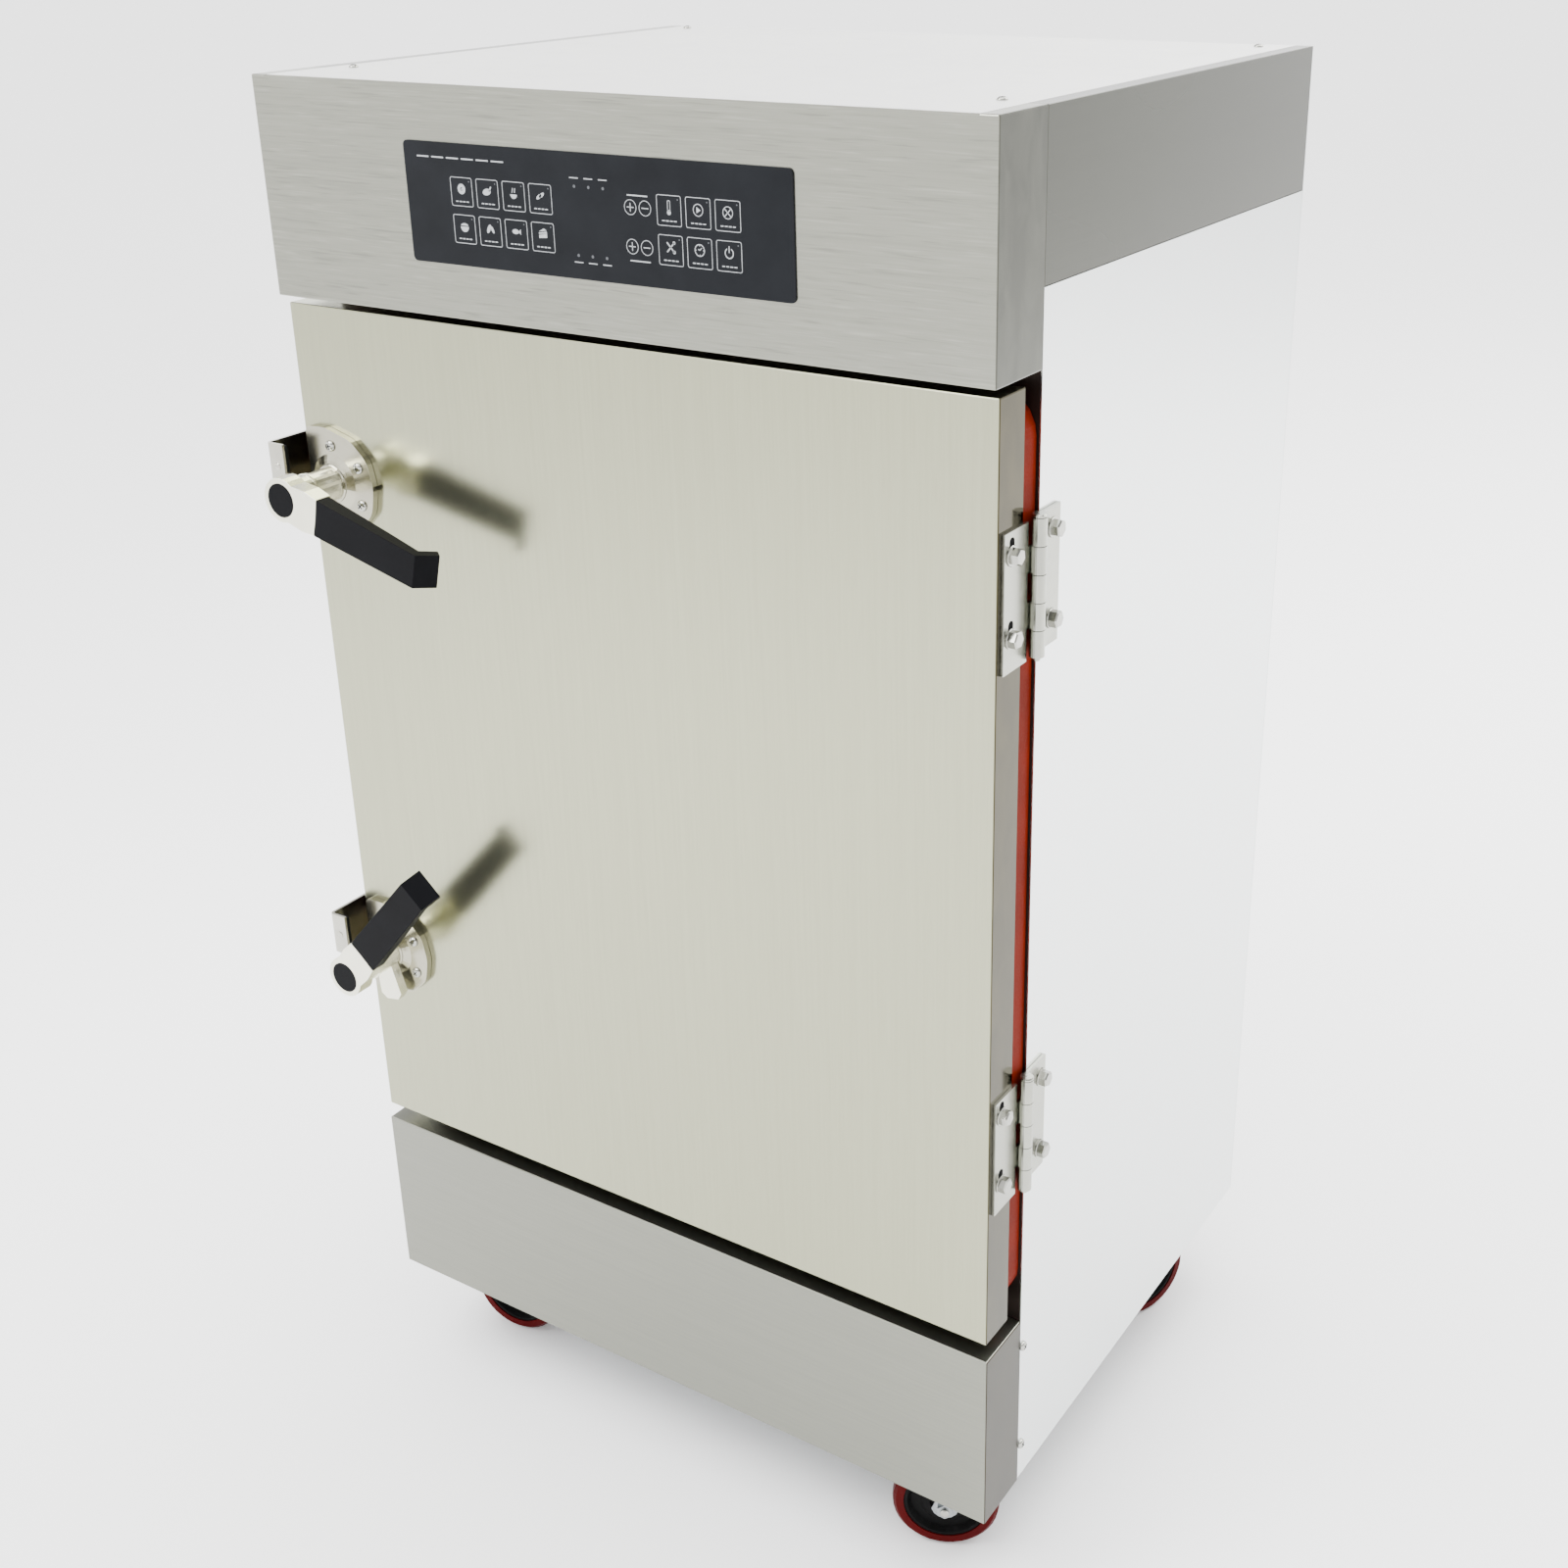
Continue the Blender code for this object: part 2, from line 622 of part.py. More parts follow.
def leaf_outline(axis_y, low, edge, clear, bands, pitch):
    """A leaf seen from the side: a plate with a tab under each of its knuckles."""
    high = low + HINGE_LENGTH
    outline = [(axis_y + edge, high), (axis_y + edge, low)]
    for z in bands:
        start, end = max(z + GAP, low), min(z + pitch - GAP, high)
        if start > low:
            outline.append((axis_y + clear, start))
        outline += [(axis_y, start), (axis_y, end)]
        if end < high:
            outline.append((axis_y + clear, end))
    if bands[0] + GAP > low:
        outline.insert(2, (axis_y + clear, low))
    if bands[-1] + pitch - GAP < high:
        outline.append((axis_y + clear, high))
    return outline


# --- Latches -------------------------------------------------------------
def make_latch(name, height, angle):
    """One compression latch: base, lever with tongue, grip and cap, and its keeper."""
    here = facing_front(LATCH_X, DOOR_FRONT, height)
    base = make_latch_base(name, here)
    turned_here = facing_front(LATCH_X, DOOR_FRONT, height, angle)
    lever = make_lever(name, turned_here)
    grip = make_grip(name, turned_here)
    cap = rod(f"{name}_latch_cap", 0.0150, 0.0683, 0.0697, "black_grip", turned_here)
    add_bevel(cap, 0.0004, 1)
    hang_on(f"{name}_latch_axis", (LATCH_X, DOOR_FRONT, height), [lever, grip, cap])
    make_keeper(name, height)
    return base


def make_latch_base(name, place):
    """Base plate on the door: a wide flange with a cone up to the lever's bearing ring."""
    corners = [(-0.029, -0.048), (-0.006, -0.049), (0.024, -0.041), (0.042, -0.024),
               (0.047, 0.0), (0.042, 0.024), (0.024, 0.041), (-0.006, 0.049), (-0.029, 0.048)]
    radii = [0.006, 0.020, 0.024, 0.020, 0.030, 0.020, 0.024, 0.020, 0.006]
    base = plate(f"{name}_latch_base", [rounded(corners, radii, 3)], GAP, 0.0064,
                 "cast_nickel", place)
    add_bevel(base, 0.0018)
    cone = turned(f"{name} latch cone", [
        (0.0, 0.0114), (0.0165, 0.0114), (0.0176, 0.0106), (0.0178, 0.0096),
        (0.0200, 0.0086), (0.0265, 0.0060), (0.0265, 0.0030), (0.0, 0.0030),
    ], None, place)
    combine(base, [cone], "UNION")
    return base


def make_lever(name, place):
    """Lever head, hub and tongue in one casting, with a seat for the cap."""
    root, half = 0.0407, 0.0168
    bulge = 0.0200
    sides = arc((0, 0), bulge, 60, 300, 16)
    outline = [(root, -half), (root + 0.0006, 0.0), (root, half), (0.026, 0.0188)]
    outline += sides + [(0.026, -0.0188)]
    head = plate(f"{name}_latch_lever", [outline], 0.0520, 0.0693, "cast_nickel", place)
    add_bevel(head, 0.0014)
    askew = place @ Matrix.Rotation(math.radians(4), 4, "Z")
    hub = rod(f"{name} latch hub", 0.0150, 0.0117, 0.0530, None, askew)
    reach, flare = 0.047, 0.0135
    heading = math.radians(TONGUE_ANGLE)
    fan = [(0.0, -0.009), (reach - 0.006, -flare), (reach, -flare + 0.006),
           (reach, flare - 0.006), (reach - 0.006, flare), (0.0, 0.009)]
    spun = [
        (x * math.cos(heading) - y * math.sin(heading),
         x * math.sin(heading) + y * math.cos(heading)) for x, y in fan
    ]
    tongue = plate(f"{name} latch tongue", [spun], 0.0121, 0.0211, None, place)
    seat = rod(f"{name} cap seat", 0.0153, 0.0680, 0.0750, None, place)
    combine(head, [hub, tongue], "UNION")
    combine(head, [seat], "DIFFERENCE")
    return head


def make_grip(name, place):
    """Rubber grip: tapered, with its end bent back towards the door."""
    root = 0.0413
    side = [(root, 0.0693), (0.157, 0.0716), (LEVER_LENGTH, 0.0547), (0.1625, 0.0501),
            (0.1525, 0.0628), (0.120, 0.0600), (root, 0.0546)]
    across = place @ Matrix.Rotation(math.radians(90), 4, "X")
    grip = plate(f"{name}_latch_grip", [side], -0.0168, 0.0168, "black_grip", across)
    taper = 0.0152 / 0.0168
    for vert in grip.data.vertices:
        along = (vert.co.x - root) / (LEVER_LENGTH - root)
        vert.co.z *= 1.0 + (taper - 1.0) * along
    add_bevel(grip, 0.0018)
    return grip


def make_keeper(name, height):
    """Strap from the body's left side, joggled outwards and bent in front of the tongue."""
    face = FRONT - 0.0183
    path = rounded([(-0.35155, BODY_FRONT + 0.050), (-0.35155, BODY_FRONT + 0.014),
                    (-0.36825, BODY_FRONT - 0.012), (-0.36825, face), (-0.3495, face)],
                   [0, 0.008, 0.008, 0.003, 0], 3, closed=False)
    keeper = plate(f"{name}_keeper", [strip(path, 0.0025)], height + KEEPER_TOP - KEEPER_HEIGHT,
                   height + KEEPER_TOP, "cast_nickel")
    return keeper


def strip(path, thickness):
    """The outline of a bent strip, from its centre line."""
    sides = ([], [])
    for i, point in enumerate(path):
        here = Vector(point)
        ahead = Vector(path[min(i + 1, len(path) - 1)]) - here
        behind = here - Vector(path[max(i - 1, 0)])
        ahead = ahead.normalized() if ahead.length else behind.normalized()
        behind = behind.normalized() if behind.length else ahead
        along = (ahead + behind).normalized()
        across = Vector((-along.y, along.x)) * (thickness / 2 / max(along.dot(ahead), 0.3))
        sides[0].append(tuple(here + across))
        sides[1].append(tuple(here - across))
    return sides[0] + sides[1][::-1]


# --- Casters -------------------------------------------------------------
def make_caster(name, x, y, angle):
    """One swivel caster: plate, fork with axle, wheel core and tread."""
    plate_half = (0.036, 0.0475)
    corners = rounded(rectangle(-plate_half[0], plate_half[0], -plate_half[1], plate_half[1]),
                      0.008, 3)
    plate(f"{name}_caster_plate", [corners], 0.125, CASTER_HEIGHT, "zinc",
          Matrix.Translation((x, y, 0)))
    place = Matrix.Translation((x, y, 0)) @ Matrix.Rotation(math.radians(angle), 4, "Z")
    axle = place @ Matrix.Translation((CASTER_TRAIL, 0, WHEEL_RADIUS))
    across = axle @ Matrix.Rotation(math.radians(90), 4, "X")
    fork = make_fork(name, place, across)
    half = WHEEL_WIDTH / 2
    rim = WHEEL_RADIUS - 0.0115
    core = turned(f"{name}_wheel_core", [
        (0.0044, half), (0.0120, half), (0.0120, half - 0.004), (rim - 0.006, half - 0.006),
        (rim - 0.003, half - 0.001), (rim, half - 0.001), (rim, -half + 0.001),
        (rim - 0.003, -half + 0.001), (rim - 0.006, -half + 0.006), (0.0120, -half + 0.004),
        (0.0120, -half), (0.0044, -half),
    ], "wheel_black", across, 28)
    tread = turned(f"{name}_wheel_tread", [
        (rim + GAP, half), (WHEEL_RADIUS - 0.004, half), (WHEEL_RADIUS - 0.001, half - 0.003),
        (WHEEL_RADIUS, half - 0.009), (WHEEL_RADIUS, -half + 0.009),
        (WHEEL_RADIUS - 0.001, -half + 0.003), (WHEEL_RADIUS - 0.004, -half), (rim + GAP, -half),
    ], "red_tread", across, 40)
    swivel = hang_on(f"{name}_swivel_axis", (x, y, 0), [fork])
    wheel = hang_on(f"{name}_wheel_axis", axle.translation, [core, tread])
    wheel.parent = swivel
    wheel.matrix_parent_inverse = swivel.matrix_world.inverted()


def make_fork(name, place, across):
    """Fork: a crown under the plate, two legs, and the axle with its hex heads."""
    fork = rod(f"{name}_fork", 0.028, 0.1115, 0.1247, "zinc", place, 28)
    inner, outer = 0.0172, 0.0200
    end = arc((CASTER_TRAIL, WHEEL_RADIUS), 0.013, 190, 350, 6)
    leg = [(-0.020, 0.1130), (-0.020, 0.1020)] + end + [(0.026, 0.1020), (0.022, 0.1130)]
    legs = [
        plate(f"{name} leg {sign}", [leg], min(sign * inner, sign * outer),
              max(sign * inner, sign * outer), None,
              place @ Matrix.Rotation(math.radians(90), 4, "X"))
        for sign in (-1, 1)
    ]
    bolt = rod(f"{name} axle", 0.0040, -0.021, 0.021, None, across, 20)
    heads = [
        rod(f"{name} axle head {sign}", 0.0080, min(sign * 0.0195, sign * 0.0262),
            max(sign * 0.0195, sign * 0.0262), None, across, 6)
        for sign in (-1, 1)
    ]
    combine(fork, legs + [bolt] + heads, "UNION")
    return fork


def main():
    """Build the whole cabinet."""
    back = make_shell()
    liner, wrap, basin = make_chamber()
    make_services(back, liner, wrap, basin)
    make_controls()
    door = make_door()
    for name, height in HINGE_HEIGHTS.items():
        door.append(make_hinge(name, height))
    for name, height in LATCH_HEIGHTS.items():
        door.append(make_latch(name, height, LEVER_ANGLES[name]))
    door_axis = hang_on("door_axis", (*HINGE_AXIS, 0), door)
    for name in LATCH_HEIGHTS:
        latch_axis = bpy.data.objects[f"{name}_latch_axis"]
        latch_axis.parent = door_axis
        latch_axis.matrix_parent_inverse = door_axis.matrix_world.inverted()
    for end, y in CASTER_Y.items():
        for side, x in (("left", -CASTER_X), ("right", CASTER_X)):
            make_caster(f"{end}_{side}", x, y, CASTER_ANGLES[f"{end}_{side}"])
    for obj in PARTS.objects:
        if obj.type == "MESH":
            smooth(obj)


main()
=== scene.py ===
"""Looks of a commercial steam cabinet on casters.

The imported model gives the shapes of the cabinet.  This script adds the fasteners, the printed
control panel and the small fittings, gives every piece its finish, and sets the studio round it.
"""

import json
import logging
import math
from dataclasses import dataclass, field
from enum import Enum
from typing import Iterable, Sequence

import bmesh
import bpy
from mathutils import Matrix, Vector


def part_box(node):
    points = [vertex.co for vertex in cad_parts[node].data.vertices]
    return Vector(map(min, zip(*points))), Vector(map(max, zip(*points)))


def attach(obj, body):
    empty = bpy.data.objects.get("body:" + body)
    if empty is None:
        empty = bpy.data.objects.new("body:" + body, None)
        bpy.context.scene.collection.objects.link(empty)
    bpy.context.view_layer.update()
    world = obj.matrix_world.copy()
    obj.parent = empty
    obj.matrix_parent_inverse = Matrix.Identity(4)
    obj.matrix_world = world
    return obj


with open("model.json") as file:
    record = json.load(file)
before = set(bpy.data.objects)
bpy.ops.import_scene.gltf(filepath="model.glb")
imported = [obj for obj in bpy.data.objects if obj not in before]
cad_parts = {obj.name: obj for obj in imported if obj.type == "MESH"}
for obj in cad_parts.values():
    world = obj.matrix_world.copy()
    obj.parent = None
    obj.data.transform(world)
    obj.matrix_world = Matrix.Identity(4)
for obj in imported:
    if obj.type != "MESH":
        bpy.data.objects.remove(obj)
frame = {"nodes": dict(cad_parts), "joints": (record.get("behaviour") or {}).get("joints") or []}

LOG = logging.getLogger("steam_cabinet")

Colour = tuple[float, float, float]
Point = tuple[float, float]
Place = Matrix

HAIR = 0.00015                   # how far a print or inlay stands off its surface


class Along(Enum):
    """The direction a sheet is brushed in."""

    LEVEL = "level"
    UPRIGHT = "upright"


class Hand(Enum):
    """The side of the cabinet that a piece stands on."""

    LEFT = -1
    RIGHT = 1


class Level(Enum):
    """The upper or lower one of a pair on the door."""

    UPPER = "upper"
    LOWER = "lower"


# --- Node graphs ---------------------------------------------------------
class Graph:
    """The node tree of one finish, with short ways to add what the finishes share."""

    def __init__(self, name: str) -> None:
        """Start a material with its shader and object coordinates.

        Args:
            name: The material's name.
        """
        self.material = bpy.data.materials.new(name)
        self.material.use_nodes = True
        self.tree = self.material.node_tree
        self.shader = self.tree.nodes["Principled BSDF"]
        self.place = self.tree.nodes.new("ShaderNodeTexCoord").outputs["Object"]

    def settle(self, **values: object) -> None:
        """Set the shader's own sockets; an underscore in a name stands for a space."""
        for name, value in values.items():
            self.shader.inputs[name.replace("_", " ")].default_value = value

    def feed(self, socket: str, source: bpy.types.NodeSocket) -> None:
        """Link a source to one of the shader's sockets."""
        self.tree.links.new(source, self.shader.inputs[socket])

    def noise(self, stretch: Sequence[float], detail: float = 3.0, twist: float = 0.0) -> object:
        """A noise stretched along the axes.

        Args:
            stretch: Waves per metre along x, y and z.
            detail: The noise's octaves.
            twist: How far the noise is distorted.

        Returns:
            The noise's factor output.
        """
        mapping = self.tree.nodes.new("ShaderNodeMapping")
        mapping.inputs["Scale"].default_value = stretch
        self.tree.links.new(self.place, mapping.inputs["Vector"])
        noise = self.tree.nodes.new("ShaderNodeTexNoise")
        noise.inputs["Scale"].default_value = 1.0
        noise.inputs["Detail"].default_value = detail
        noise.inputs["Distortion"].default_value = twist
        self.tree.links.new(mapping.outputs["Vector"], noise.inputs["Vector"])
        return noise.outputs["Fac"]

    def cells(self, scale: float) -> object:
        """Distance to the nearest cell centre of a Voronoi pattern."""
        cells = self.tree.nodes.new("ShaderNodeTexVoronoi")
        cells.inputs["Scale"].default_value = scale
        self.tree.links.new(self.place, cells.inputs["Vector"])
        return cells.outputs["Distance"]

    def remap(self, source: object, start: Point, end: Point) -> object:
        """Map a range of values onto another, clamped.

        Args:
            source: The value to map.
            start: Lowest and highest value that come in.
            end: What they become.

        Returns:
            The mapped value's socket.
        """
        ranged = self.tree.nodes.new("ShaderNodeMapRange")
        self.tree.links.new(source, ranged.inputs["Value"])
        for name, value in zip(("From Min", "From Max", "To Min", "To Max"), (*start, *end)):
            ranged.inputs[name].default_value = value
        return ranged.outputs["Result"]

    def maths(self, operation: str, first: object, second: object) -> object:
        """Combine two values; the second may be a number."""
        node = self.tree.nodes.new("ShaderNodeMath")
        node.operation = operation
        self.tree.links.new(first, node.inputs[0])
        if isinstance(second, (int, float)):
            node.inputs[1].default_value = second
        else:
            self.tree.links.new(second, node.inputs[1])
        return node.outputs[0]

    def sideways(self, beyond: float) -> object:
        """A mask that is one where a surface lies further than this from the middle plane."""
        parts = self.tree.nodes.new("ShaderNodeSeparateXYZ")
        self.tree.links.new(self.place, parts.inputs[0])
        away = self.maths("ABSOLUTE", parts.outputs["X"], 0.0)
        return self.remap(away, (beyond - 0.0003, beyond), (0.0, 1.0))

    def tint(self, factor: object, low: object, high: object) -> object:
        """Blend two colours, each a colour or a socket.

        Args:
            factor: The blend, from zero to one.
            low: The colour at zero.
            high: The colour at one.

        Returns:
            The blended colour's socket.
        """
        node = self.tree.nodes.new("ShaderNodeMix")
        node.data_type = "RGBA"
        self.tree.links.new(factor, node.inputs[0])
        for index, colour in ((6, low), (7, high)):
            if isinstance(colour, tuple):
                node.inputs[index].default_value = (*colour, 1.0)
            else:
                self.tree.links.new(colour, node.inputs[index])
        return node.outputs[2]

    def uneven(self, source: object, colour: Colour, low: float, high: float,
               span: Point = (0.3, 0.7)) -> object:
        """A colour that wanders between two factors of itself as the source crosses a span."""
        return self.tint(self.remap(source, span, (0.0, 1.0)), shade(colour, low),
                         shade(colour, high))

    def coat(self, metallic: float, tone: object, rough: object) -> None:
        """Set how metallic the shader is, its colour and its roughness, which may be a number."""
        self.settle(Metallic=metallic)
        self.feed("Base Color", tone)
        if isinstance(rough, float):
            self.settle(Roughness=rough)
        else:
            self.feed("Roughness", rough)

    def emboss(self, height: object, strength: float, distance: float) -> None:
        """Feed a bump of the given height, in metres, to the shader's normal."""
        bump = self.tree.nodes.new("ShaderNodeBump")
        bump.inputs["Strength"].default_value = strength
        bump.inputs["Distance"].default_value = distance
        self.tree.links.new(height, bump.inputs["Height"])
        self.feed("Normal", bump.outputs["Normal"])


def shade(colour: Colour, by: float) -> Colour:
    """A colour made lighter or darker by a factor."""
    return tuple(min(1.0, c * by) for c in colour)


# --- Finishes ------------------------------------------------------------
@dataclass(frozen=True)
class Finish:
    """A surface finish; each kind paints its own node graph."""

    name: str
    colour: Colour
    roughness: float

    def material(self) -> bpy.types.Material:
        """The finish's material, made the first time it is asked for."""
        made = bpy.data.materials.get(self.name)
        if made is None:
            graph = Graph(self.name)
            self.paint(graph)
            made = graph.material
        return made

    def paint(self, graph: Graph) -> None:
        """Add the finish's nodes to a graph."""
        raise NotImplementedError


@dataclass(frozen=True)
class BrushedSteel(Finish):
    """Brushed stainless sheet, with painted shade on its folded sides where it has them: a darker
    colour there.
    """

    along: Along = Along.LEVEL
    contrast: float = 0.10
    fleck: float = 0.06
    # Where the folded sides begin, and the darker colour painted on them as shade.
    side_shade_from: float = 0.0
    side_shade_colour: Colour = (0.3, 0.3, 0.28)
    cloud: float = 0.05
    relief: float = 0.05

    def paint(self, graph: Graph) -> None:
        """Paint fine lines, bright and dark dashes, faint clouds and painted shade on the folded sides.
        """
        fine = graph.noise(self._stretch(900.0, 9.0), 2.0)
        broad = graph.noise(self._stretch(330.0, 4.5), 2.0)
        lines = graph.remap(graph.maths("ADD", fine, broad), (0.70, 1.30), (0.0, 1.0))
        tone = graph.tint(lines, shade(self.colour, 1 - self.contrast),
                          shade(self.colour, 1 + self.contrast))
        dashes = graph.noise(self._stretch(620.0, 26.0), 1.0)
        bright = graph.remap(dashes, (0.60, 0.78), (0.0, 1.0))
        dark = graph.remap(dashes, (0.40, 0.24), (0.0, 1.0))
        tone = graph.tint(bright, tone, shade(self.colour, 1 + self.fleck))
        tone = graph.tint(dark, tone, shade(self.colour, 1 - self.fleck))
        clouds = graph.noise(self._stretch(2.4, 1.1), 2.0)
        clouded = graph.uneven(clouds, self.colour, 1 - self.cloud, 1 + self.cloud)
        tone = graph.tint(graph.remap(clouds, (0.3, 0.7), (0.25, 0.45)), tone, clouded)
        rough = graph.remap(clouds, (0.3, 0.7), (self.roughness - 0.02, self.roughness + 0.03))
        # Painted shade: the folded sides take a much darker, uneven colour because they face away from
        # the light; they are also made a little smoother.
        if self.side_shade_from:
            side_shade_noise = graph.noise((30.0, 45.0, 22.0), 5.0, 0.6)
            side = graph.uneven(side_shade_noise, self.side_shade_colour, 0.80, 1.18, (0.35, 0.75))
            mask = graph.sideways(self.side_shade_from)
            tone = graph.tint(mask, tone, side)
            rough = graph.maths("SUBTRACT", rough, graph.maths("MULTIPLY", mask, 0.10))
        graph.coat(1.0, tone, rough)
        if self.relief:
            graph.emboss(lines, self.relief, 0.00003)

    def _stretch(self, across: float, along: float) -> tuple[float, float, float]:
        """Waves per metre for lines that run along the brushing direction."""
        if self.along is Along.LEVEL:
            return (along, along, across)
        return (across, across, along)


@dataclass(frozen=True)
class CastMetal(Finish):
    """Plated casting or pressing with a fine grain and soft handling marks."""

    grain: float = 900.0
    mottle: float = 0.10

    def paint(self, graph: Graph) -> None:
        """Paint grain, mottling and faint polish marks."""
        grain = graph.noise((self.grain,) * 3, 4.0)
        marks = graph.noise((60.0, 60.0, 60.0), 5.0, 0.8)
        tone = graph.uneven(marks, self.colour, 1 - self.mottle, 1 + self.mottle)
        rough = graph.remap(marks, (0.25, 0.75), (self.roughness - 0.03, self.roughness + 0.04))
        graph.coat(1.0, tone, rough)
        graph.emboss(grain, 0.06, 0.00003)


@dataclass(frozen=True)
class Moulded(Finish):
    """Moulded plastic or rubber with a spark-eroded texture."""

    grain: float = 1400.0
    texture: float = 0.35
    gloss: float = 0.5

    def paint(self, graph: Graph) -> None:
        """Paint the moulded texture and a slight unevenness of colour."""
        pits = graph.noise((self.grain,) * 3, 3.0)
        drift = graph.noise((28.0, 28.0, 28.0), 3.0)
        tone = graph.uneven(drift, self.colour, 0.85, 1.18)
        rough = graph.remap(pits, (0.3, 0.7), (self.roughness - 0.06, self.roughness + 0.08))
        graph.settle(Specular_IOR_Level=self.gloss)
        graph.coat(0.0, tone, rough)
        graph.emboss(pits, self.texture, 0.00008)


@dataclass(frozen=True)
class MineralWool(Finish):
    """Pressed mineral fibre board."""

    def paint(self, graph: Graph) -> None:
        """Paint tangled fibres and darker flecks."""
        fibres = graph.noise((160.0, 420.0, 160.0), 8.0, 2.0)
        flecks = graph.cells(90.0)
        tone = graph.uneven(fibres, self.colour, 0.6, 1.3)
        tone = graph.tint(graph.remap(flecks, (0.0, 0.25), (0.7, 0.0)), tone,
                          shade(self.colour, 0.4))
        graph.coat(0.0, tone, self.roughness)
        graph.emboss(fibres, 0.8, 0.0015)


@dataclass(frozen=True)
class PanelPrint(Finish):
    """Ink on the touch panel, a little uneven, as screen printing is."""

    def paint(self, graph: Graph) -> None:
        """Paint the ink's mottling."""
        ink = graph.noise((900.0, 900.0, 900.0), 3.0)
        tone = graph.uneven(ink, self.colour, 0.82, 1.08)
        graph.coat(0.0, tone, self.roughness)
        graph.emboss(ink, 0.15, 0.00003)


# The side colours below are painted shade on the folded sides of the fascia, the kick panel and the
# door.
FASCIA_STEEL = BrushedSteel("fascia_steel", (0.234, 0.236, 0.202), 0.28, contrast=0.10, fleck=0.30,
                            side_shade_from=0.3496, side_shade_colour=(0.072, 0.073, 0.060))
KICK_STEEL = BrushedSteel("kick_steel", (0.208, 0.211, 0.181), 0.34, contrast=0.05, fleck=0.06,
                          side_shade_from=0.3496, side_shade_colour=(0.022, 0.0165, 0.0065))
DOOR_STEEL = BrushedSteel("door_steel", (0.330, 0.333, 0.236), 0.21, Along.UPRIGHT, contrast=0.05,
                          fleck=0.07, side_shade_from=0.3480, side_shade_colour=(0.036, 0.030, 0.0125),
                          cloud=0.02, relief=0.0)
# Painted shade: the header panels are the fascia's steel, made much darker because these side panels
# face away from the light.
SHADED_HEADER_STEEL = BrushedSteel("header_steel", (0.0600, 0.0610, 0.0500), 0.26, contrast=0.05, fleck=0.08)
COVER_STEEL = BrushedSteel("cover_steel", (0.94, 0.94, 0.92), 0.46, contrast=0.02, cloud=0.03)
BODY_STEEL = BrushedSteel("body_steel", (0.775, 0.800, 0.797), 0.22, Along.UPRIGHT, contrast=0.008,
                          fleck=0.01, cloud=0.012)
# Painted shade: the front frame is given a near-black colour for the frame lying in shadow behind the
# gaps round the door.
SHADED_FRAME_STEEL = BrushedSteel("frame_steel", (0.040, 0.030, 0.027), 0.42, Along.UPRIGHT,
                           contrast=0.08)
LINER_STEEL = BrushedSteel("liner_steel", (0.408, 0.416, 0.399), 0.28, contrast=0.05)
PAN_STEEL = BrushedSteel("pan_steel", (0.391, 0.399, 0.383), 0.30, contrast=0.05)
RACK_STEEL = CastMetal("rack_steel", (0.442, 0.451, 0.433), 0.28, mottle=0.05)
HINGE_STEEL = CastMetal("hinge_steel", (0.340, 0.344, 0.302), 0.24, mottle=0.07)
LATCH_NICKEL = CastMetal("latch_nickel", (0.357, 0.344, 0.276), 0.20, grain=700.0, mottle=0.05)
HEAD_NICKEL = CastMetal("head_nickel", (0.760, 0.750, 0.620), 0.24, grain=700.0, mottle=0.04)
KEEPER_NICKEL = CastMetal("keeper_nickel", (0.425, 0.416, 0.365), 0.18, mottle=0.08)
BOLT_STEEL = CastMetal("bolt_steel", (0.357, 0.357, 0.327), 0.14, mottle=0.06)
ZINC_PLATE = CastMetal("zinc_plate", (0.272, 0.289, 0.297), 0.28, grain=500.0, mottle=0.16)
ELEMENT_STEEL = CastMetal("element_steel", (0.22, 0.21, 0.195), 0.40, mottle=0.18)
BRASS_CAST = CastMetal("brass_cast", (0.459, 0.289, 0.102), 0.34, mottle=0.12)
BLACK_GRIP = Moulded("black_grip", (0.0022, 0.0023, 0.0030), 0.50, gloss=0.04)
BLACK_NYLON = Moulded("black_nylon", (0.0026, 0.0026, 0.0026), 0.50, gloss=0.05)
# Painted shade: flat black standing for the shade inside screw recesses, vent slots and hinge slots.
RECESS_SHADE = Moulded("recess_black", (0.003, 0.003, 0.003), 0.70, gloss=0.03)
KEEPER_PAD = Moulded("keeper_pad", (0.005, 0.0055, 0.0052), 0.62, texture=0.5, gloss=0.06)
SILICONE = Moulded("silicone_orange", (0.090, 0.0050, 0.0006), 0.50, grain=600.0, texture=0.12,
                   gloss=0.03)
TREAD_RED = Moulded("tread_red", (0.0460, 0.0007, 0.0010), 0.34, grain=500.0, texture=0.10,
                    gloss=0.045)
PANEL_FILM = Moulded("panel_film", (0.0062, 0.0069, 0.0086), 0.42, grain=1100.0, texture=0.10,
                     gloss=0.065)
BOARD_GREEN = Moulded("board_green", (0.015, 0.11, 0.045), 0.40, grain=500.0, texture=0.2)
HANDLE_RED = Moulded("handle_red", (0.30, 0.012, 0.009), 0.38, grain=350.0, texture=0.2, gloss=0.2)
CHIP_BLACK = Moulded("chip_black", (0.010, 0.010, 0.011), 0.5, gloss=0.2)
PANEL_INK = PanelPrint("panel_ink", (0.306, 0.319, 0.332), 0.5)
DIM_INK = PanelPrint("dim_ink", (0.050, 0.054, 0.062), 0.5)
WOOL = MineralWool("mineral_wool", (0.40, 0.34, 0.18), 0.95)


# --- Mesh making ---------------------------------------------------------
def arc(centre: Point, radius: float, start: float, end: float, steps: int) -> list[Point]:
    """Points of an arc between two angles in degrees."""
    points = []
    for step in range(steps + 1):
        angle = math.radians(start + (end - start) * step / steps)
        points.append((centre[0] + radius * math.cos(angle), centre[1] + radius * math.sin(angle)))
    return points


